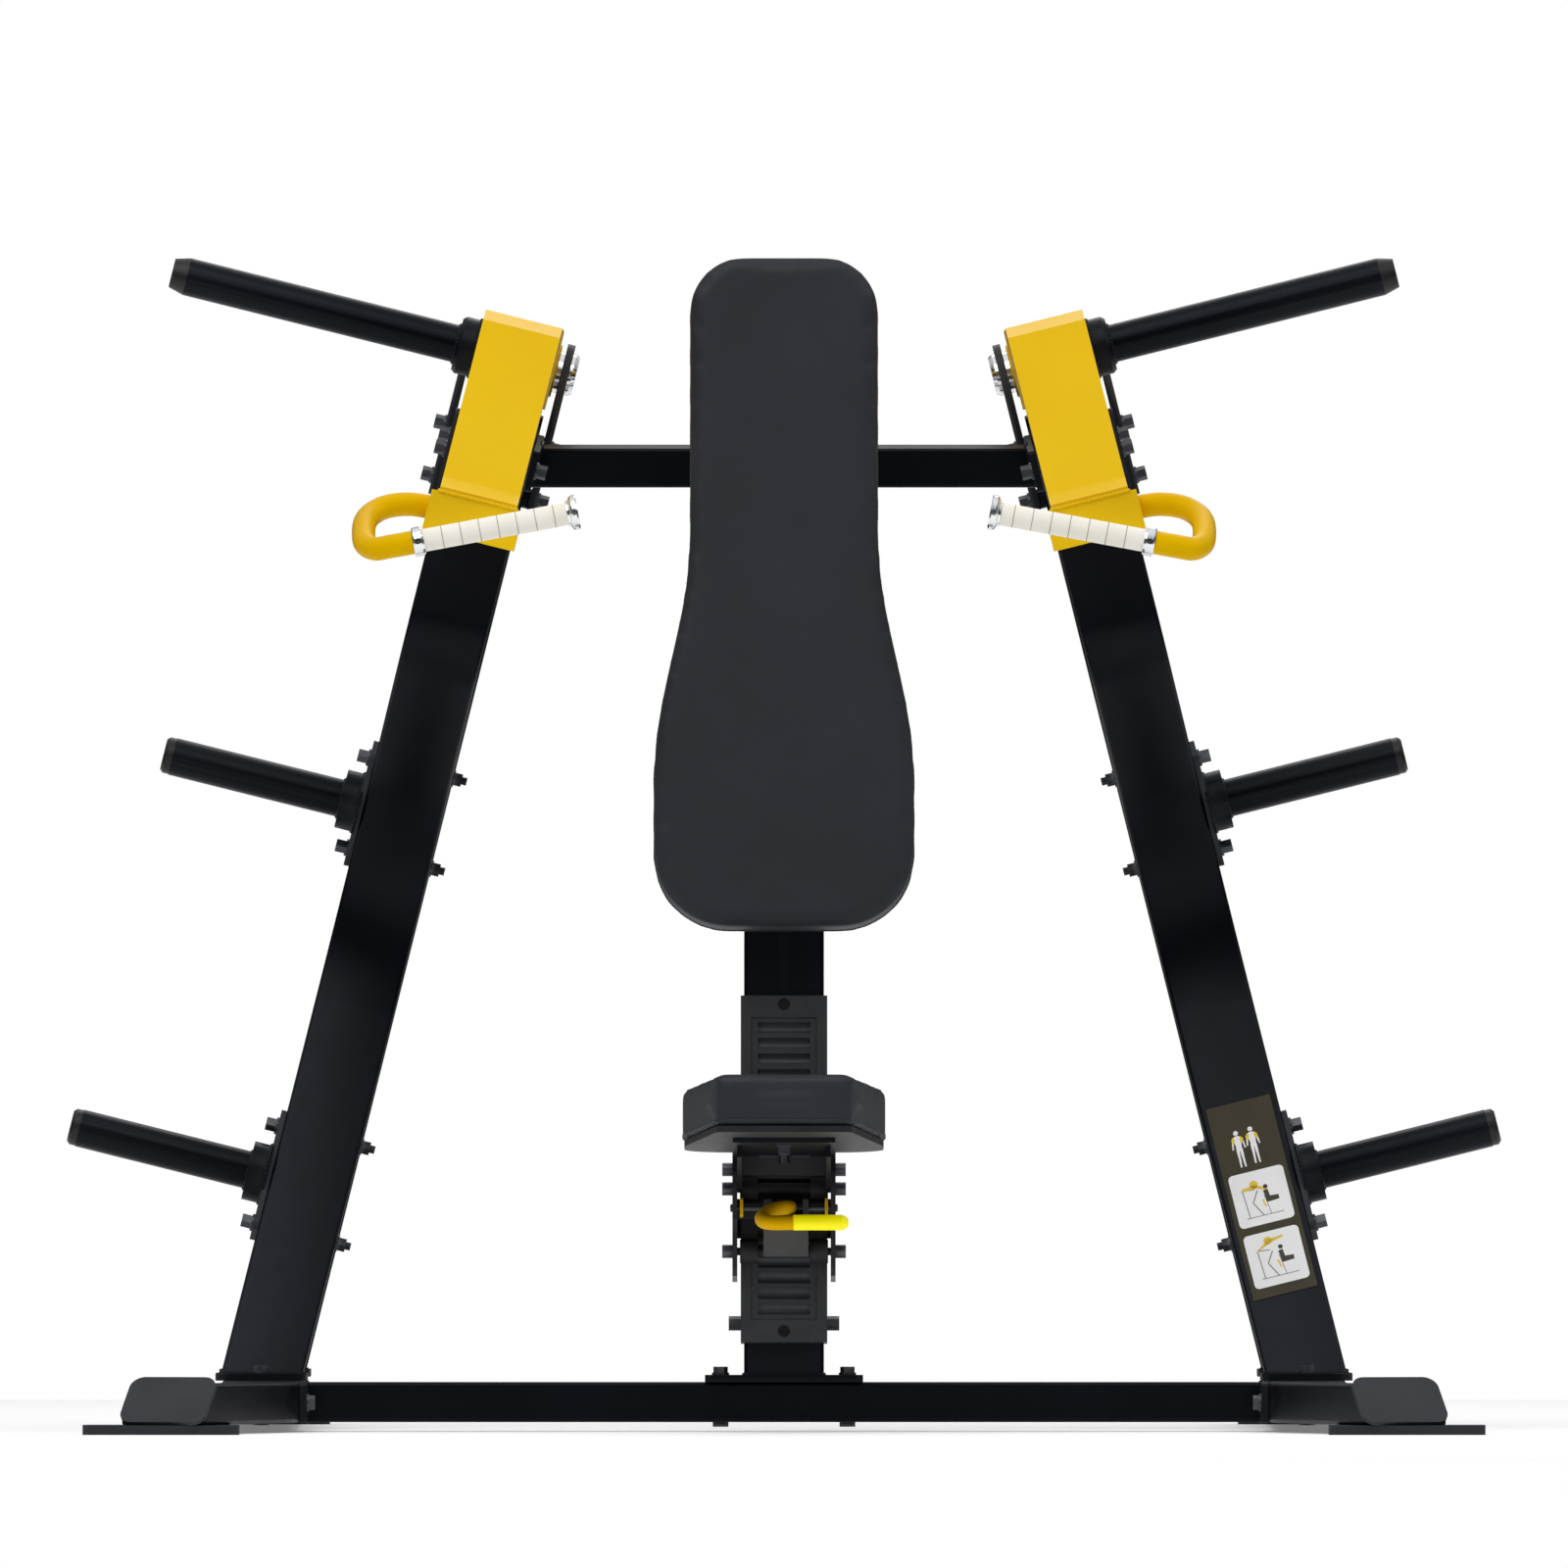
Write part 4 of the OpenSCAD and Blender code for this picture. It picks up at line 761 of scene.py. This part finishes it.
for x in (-0.056, -0.052, 0.052, 0.056):
    cheek_points += [seat_post_point(x, LEVER_Y - 0.002 + a, LEVER_Z + b)
                     for a, b in ring(0.02, 0.024, 0.003, 3)]
n = len(cheek_points) // 4
for first in (0, 2 * n):
    cheek_faces += [tuple(first + k for k in face) for face in bar_faces(2, n)]
cheeks = mesh_piece("seat_lever_cheeks", cheek_points, cheek_faces, lever_coat, "seat_lever")
cheeks.data.set_sharp_from_angle(angle=radians(30))
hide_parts("seat_lever")
lever_vinyl = moulded("yellow_lever_vinyl", (0.97, 0.88, 0.0006), (1.0, 0.92, 0.001), 0.4, 0.1, 600)
# The grip's faint yellow emission is painted light: it keeps the grip bright where the seat's shade
# falls on it.
bright = lever_vinyl.node_tree.nodes["Principled BSDF"]
bright.inputs["Emission Color"].default_value = (1, 0.88, 0.0005, 1)
bright.inputs["Emission Strength"].default_value = 0.3
dress(lever_vinyl, "lever_grip")


# ---- Placard -------------------------------------------------------------------------------
# A thin olive film on the right front post, printed with two standing figures whose shoulders
# are marked, and two cards that show the press low and high. It carries no lettering.
dress(moulded("olive_placard_film", (0.03, 0.023, 0.0045), (0.04, 0.031, 0.007), 0.5, 0.06, 300),
      "placard")
PLACARD_MID_UP, FILM_T = 0.293, 0.0012
PLACARD_ALONG = (PLACARD_MID_UP - POST_FOOT_Z) / cos(LOW_TILT)


def placard_point(across, along, lift):
    """A point on the placard: outwards and up from its middle, lifted off its face."""
    y, z = -(TUBE_D / 2 + FILM_T + lift), PLACARD_ALONG + along
    return leaning(1, across, FRONT_FOOT_Y + y * cos(LOW_TILT) + z * sin(LOW_TILT),
                   POST_FOOT_Z - y * sin(LOW_TILT) + z * cos(LOW_TILT))


def printed(name, shapes, material, lift):
    """Flat printed shapes on the placard, each a list of (across, along) points in mm."""
    points, faces = [], []
    for shape in shapes:
        n, first = len(shape), len(points)
        for height in (0.0, lift):
            points += [placard_point(a / 1000, b / 1000, height) for a, b in shape]
        faces.append(tuple(first + n + k for k in range(n)))
        faces.append(tuple(first + k for k in range(n))[::-1])
        faces += [(first + k, first + (k + 1) % n, first + n + (k + 1) % n, first + n + k)
                  for k in range(n)]
    piece = mesh_piece(name, points, faces, material, "frame", smooth=False)
    face_outwards(piece)


def disc(x, y, r, steps=20):
    """A round printed shape."""
    return [(x + r * cos(2 * pi * k / steps), y + r * sin(2 * pi * k / steps))
            for k in range(steps)]


def stroke(line, width):
    """Printed strokes along a line, one shape to each stretch."""
    shapes = []
    for (ax, ay), (bx, by) in zip(line, line[1:]):
        long = sqrt((bx - ax) ** 2 + (by - ay) ** 2)
        nx, ny = -(by - ay) / long * width / 2, (bx - ax) / long * width / 2
        shapes.append([(ax + nx, ay + ny), (ax - nx, ay - ny),
                       (bx - nx, by - ny), (bx + nx, by + ny)])
    return shapes


def figure(x, y):
    """A plain standing figure 52 mm tall, and the marks on its shoulders."""
    trunk = [(-5.5, 16), (-2, 18.5), (2, 18.5), (5.5, 16), (3.6, 4), (4.2, -3), (-4.2, -3), (-3.6, 4)]
    legs = [[(-4.2, -3), (-0.3, -3), (-1.2, -16), (-1.8, -26), (-3.9, -26), (-3.8, -14)],
            [(0.3, -3), (4.2, -3), (3.8, -14), (3.9, -26), (1.8, -26), (1.2, -16)]]
    arms = [[(-5.5, 16), (-7.6, 12), (-8.8, 0), (-7.2, 0), (-5.6, 9), (-4.6, 12)],
            [(5.5, 16), (4.6, 12), (5.6, 9), (7.2, 0), (8.8, 0), (7.6, 12)]]
    move = lambda shape: [(a + x, b + y) for a, b in shape]
    body = [move(s) for s in [trunk] + legs + arms] + [disc(x, y + 22.6, 3.2)]
    marks = [move(s) for s in ([(-7.8, 9), (-7.4, 14.5), (-5, 17.5), (-3, 14), (-4.4, 9)],
                               [(7.8, 9), (4.4, 9), (3, 14), (5, 17.5), (7.4, 14.5)])]
    return body, marks


def card(y):
    """A white card with round corners, 72 mm wide and 76 mm tall."""
    return [(a * 1000, b * 1000 + y) for a, b in ring(0.072, 0.076, 0.006)]


def press_diagram(y, raised):
    """A side view of the press on a card: frame strokes, arm, and the seated user."""
    at = lambda a, b: (a, b + y)
    frame_lines = (stroke([at(-24, -26), at(24, -26)], 1.1)
                   + stroke([at(-20, -26), at(-22, 14), at(-6, 12)], 1.3)
                   + stroke([at(-2, -26), at(-12, -6), at(-3, 10)], 1.6)
                   + stroke([at(8, -26), at(4, 2)], 1.0))
    arm = ([at(-24, 12), at(-20, 16), at(-4, 27), at(14, 29), at(14, 26), at(-2, 22)] if raised else
           [at(-24, 12), at(-22, 16), at(-4, 18), at(9, 11), at(8, 8), at(-4, 13)])
    weight = disc(-6, y + (25 if raised else 19), 5.5)
    user = [at(4, 8), at(10, 9), at(11, -1), at(22, -2), at(22, -8), at(6, -9)]
    strip = [at(0, -4), at(2.2, -4), at(4.4, -15), at(2.2, -15)]
    return frame_lines, [arm, weight, strip], [user, disc(8, y + 13, 3)]


white_print = moulded("white_print", (0.92, 0.92, 0.92), (0.98, 0.98, 0.98), 0.4, 0.04, 300)
yellow_print = moulded("yellow_print", (0.8, 0.55, 0.02), (0.88, 0.64, 0.03), 0.4, 0.04, 300)
grey_print = moulded("grey_print", (0.22, 0.22, 0.23), (0.32, 0.32, 0.33), 0.4, 0.04, 300)
olive_print = moulded("olive_print", (0.025, 0.02, 0.006), (0.035, 0.028, 0.009), 0.4, 0.04, 300)
body_a, marks_a = figure(-12.3, 73.5)
body_b, marks_b = figure(6.8, 75)
printed("placard_figures", body_a + body_b, white_print, 0.0001)
printed("placard_shoulder_marks", marks_a + marks_b, yellow_print, 0.00022)
printed("placard_cards", [card(1), card(-86)], white_print, 0.0001)
drawn = [press_diagram(1, False), press_diagram(-86, True)]
printed("placard_frame_lines", drawn[0][0] + drawn[1][0], grey_print, 0.0002)
printed("placard_arms", drawn[0][1] + drawn[1][1], yellow_print, 0.00026)
printed("placard_users", drawn[0][2] + drawn[1][2], olive_print, 0.00032)


# ---- Floor, light and camera ---------------------------------------------------------------
# A pale matt floor under a bright overhead tent that is dark near the horizon, so that upright
# satin faces stay black and sloping ones catch the light. The camera is far off and level.
FLOOR_HALF, FLOOR_GLOW = 4.2, 0.19
floor_mesh = bpy.data.meshes.new("studio_floor")
floor_mesh.from_pydata([(-FLOOR_HALF, -FLOOR_HALF, 0), (FLOOR_HALF, -FLOOR_HALF, 0),
                        (FLOOR_HALF, FLOOR_HALF, 0), (-FLOOR_HALF, FLOOR_HALF, 0)], [],
                       [(0, 1, 2, 3)])
floor = bpy.data.objects.new("studio_floor", floor_mesh)
bpy.context.scene.collection.objects.link(floor)
floor_paint, floor_tree, floor_shader = shader_of("pale_floor")
floor_tint = ramp(floor_tree, spots(floor_tree, 1.5, 3),
                  [(0.3, (0.92, 0.92, 0.92)), (0.7, (0.95, 0.95, 0.95))])
floor_tree.links.new(floor_tint, floor_shader.inputs["Base Color"])
floor_shader.inputs["Roughness"].default_value = 0.9
floor_shader.inputs["Specular IOR Level"].default_value = 0.1
floor_shader.inputs["Emission Color"].default_value = (1, 1, 1, 1)
floor_shader.inputs["Emission Strength"].default_value = FLOOR_GLOW
floor_mesh.materials.append(floor_paint)

world = bpy.data.worlds.new("studio_tent")
bpy.context.scene.world = world
world.use_nodes = True
tent = world.node_tree
glow = tent.nodes["Background"]
heading = tent.nodes.new("ShaderNodeTexCoord")
height = tent.nodes.new("ShaderNodeSeparateXYZ")
tent.links.new(heading.outputs["Generated"], height.inputs["Vector"])
rise = tent.nodes.new("ShaderNodeMapRange")
rise.inputs["From Min"].default_value, rise.inputs["From Max"].default_value = -1, 1
tent.links.new(height.outputs["Z"], rise.inputs["Value"])
shade = ramp(tent, rise.outputs["Result"],
             [(0.0, (0.35, 0.35, 0.35)), (0.45, (0.12, 0.12, 0.125)), (0.6, (0.035, 0.035, 0.04)),
              (0.78, (0.55, 0.55, 0.56)), (1.0, (0.95, 0.95, 0.95))])
seen = tent.nodes.new("ShaderNodeLightPath")
clear = tent.nodes.new("ShaderNodeMix")
clear.data_type = "RGBA"
clear.inputs["B"].default_value = (1, 1, 1, 1)
tent.links.new(seen.outputs["Is Camera Ray"], clear.inputs["Factor"])
tent.links.new(shade, clear.inputs["A"])
tent.links.new(clear.outputs["Result"], glow.inputs["Color"])


def soft_light(name, place, target, size, power):
    """A large soft panel that faces a point."""
    panel = bpy.data.lights.new(name, "AREA")
    panel.shape, panel.size, panel.energy = "SQUARE", size, power
    lamp = bpy.data.objects.new(name, panel)
    lamp.location = place
    lamp.rotation_euler = (Vector(target) - Vector(place)).to_track_quat("-Z", "Y").to_euler()
    bpy.context.scene.collection.objects.link(lamp)


soft_light("front_panel", (-1.2, -3.0, 4.4), (0, 0, 0.8), 3.6, 82)
soft_light("side_panel", (3.2, -1.6, 3.6), (0, 0, 0.8), 2.0, 22)
soft_light("rear_panel", (0.5, 3.4, 3.8), (0, 0, 0.9), 2.2, 30)

CAMERA_FAR, CAMERA_UP, FIELD = 88.0, 0.823, 2.0
lens = bpy.data.cameras.new("camera")
lens.sensor_width = 36
lens.lens = CAMERA_FAR * lens.sensor_width / FIELD
lens.clip_end = 4 * CAMERA_FAR
camera = bpy.data.objects.new("camera", lens)
camera.location = (0, -CAMERA_FAR, CAMERA_UP)
camera.rotation_euler = (radians(90), 0, 0)
bpy.context.scene.collection.objects.link(camera)
bpy.context.scene.camera = camera
bpy.context.scene.view_settings.view_transform = "Standard"
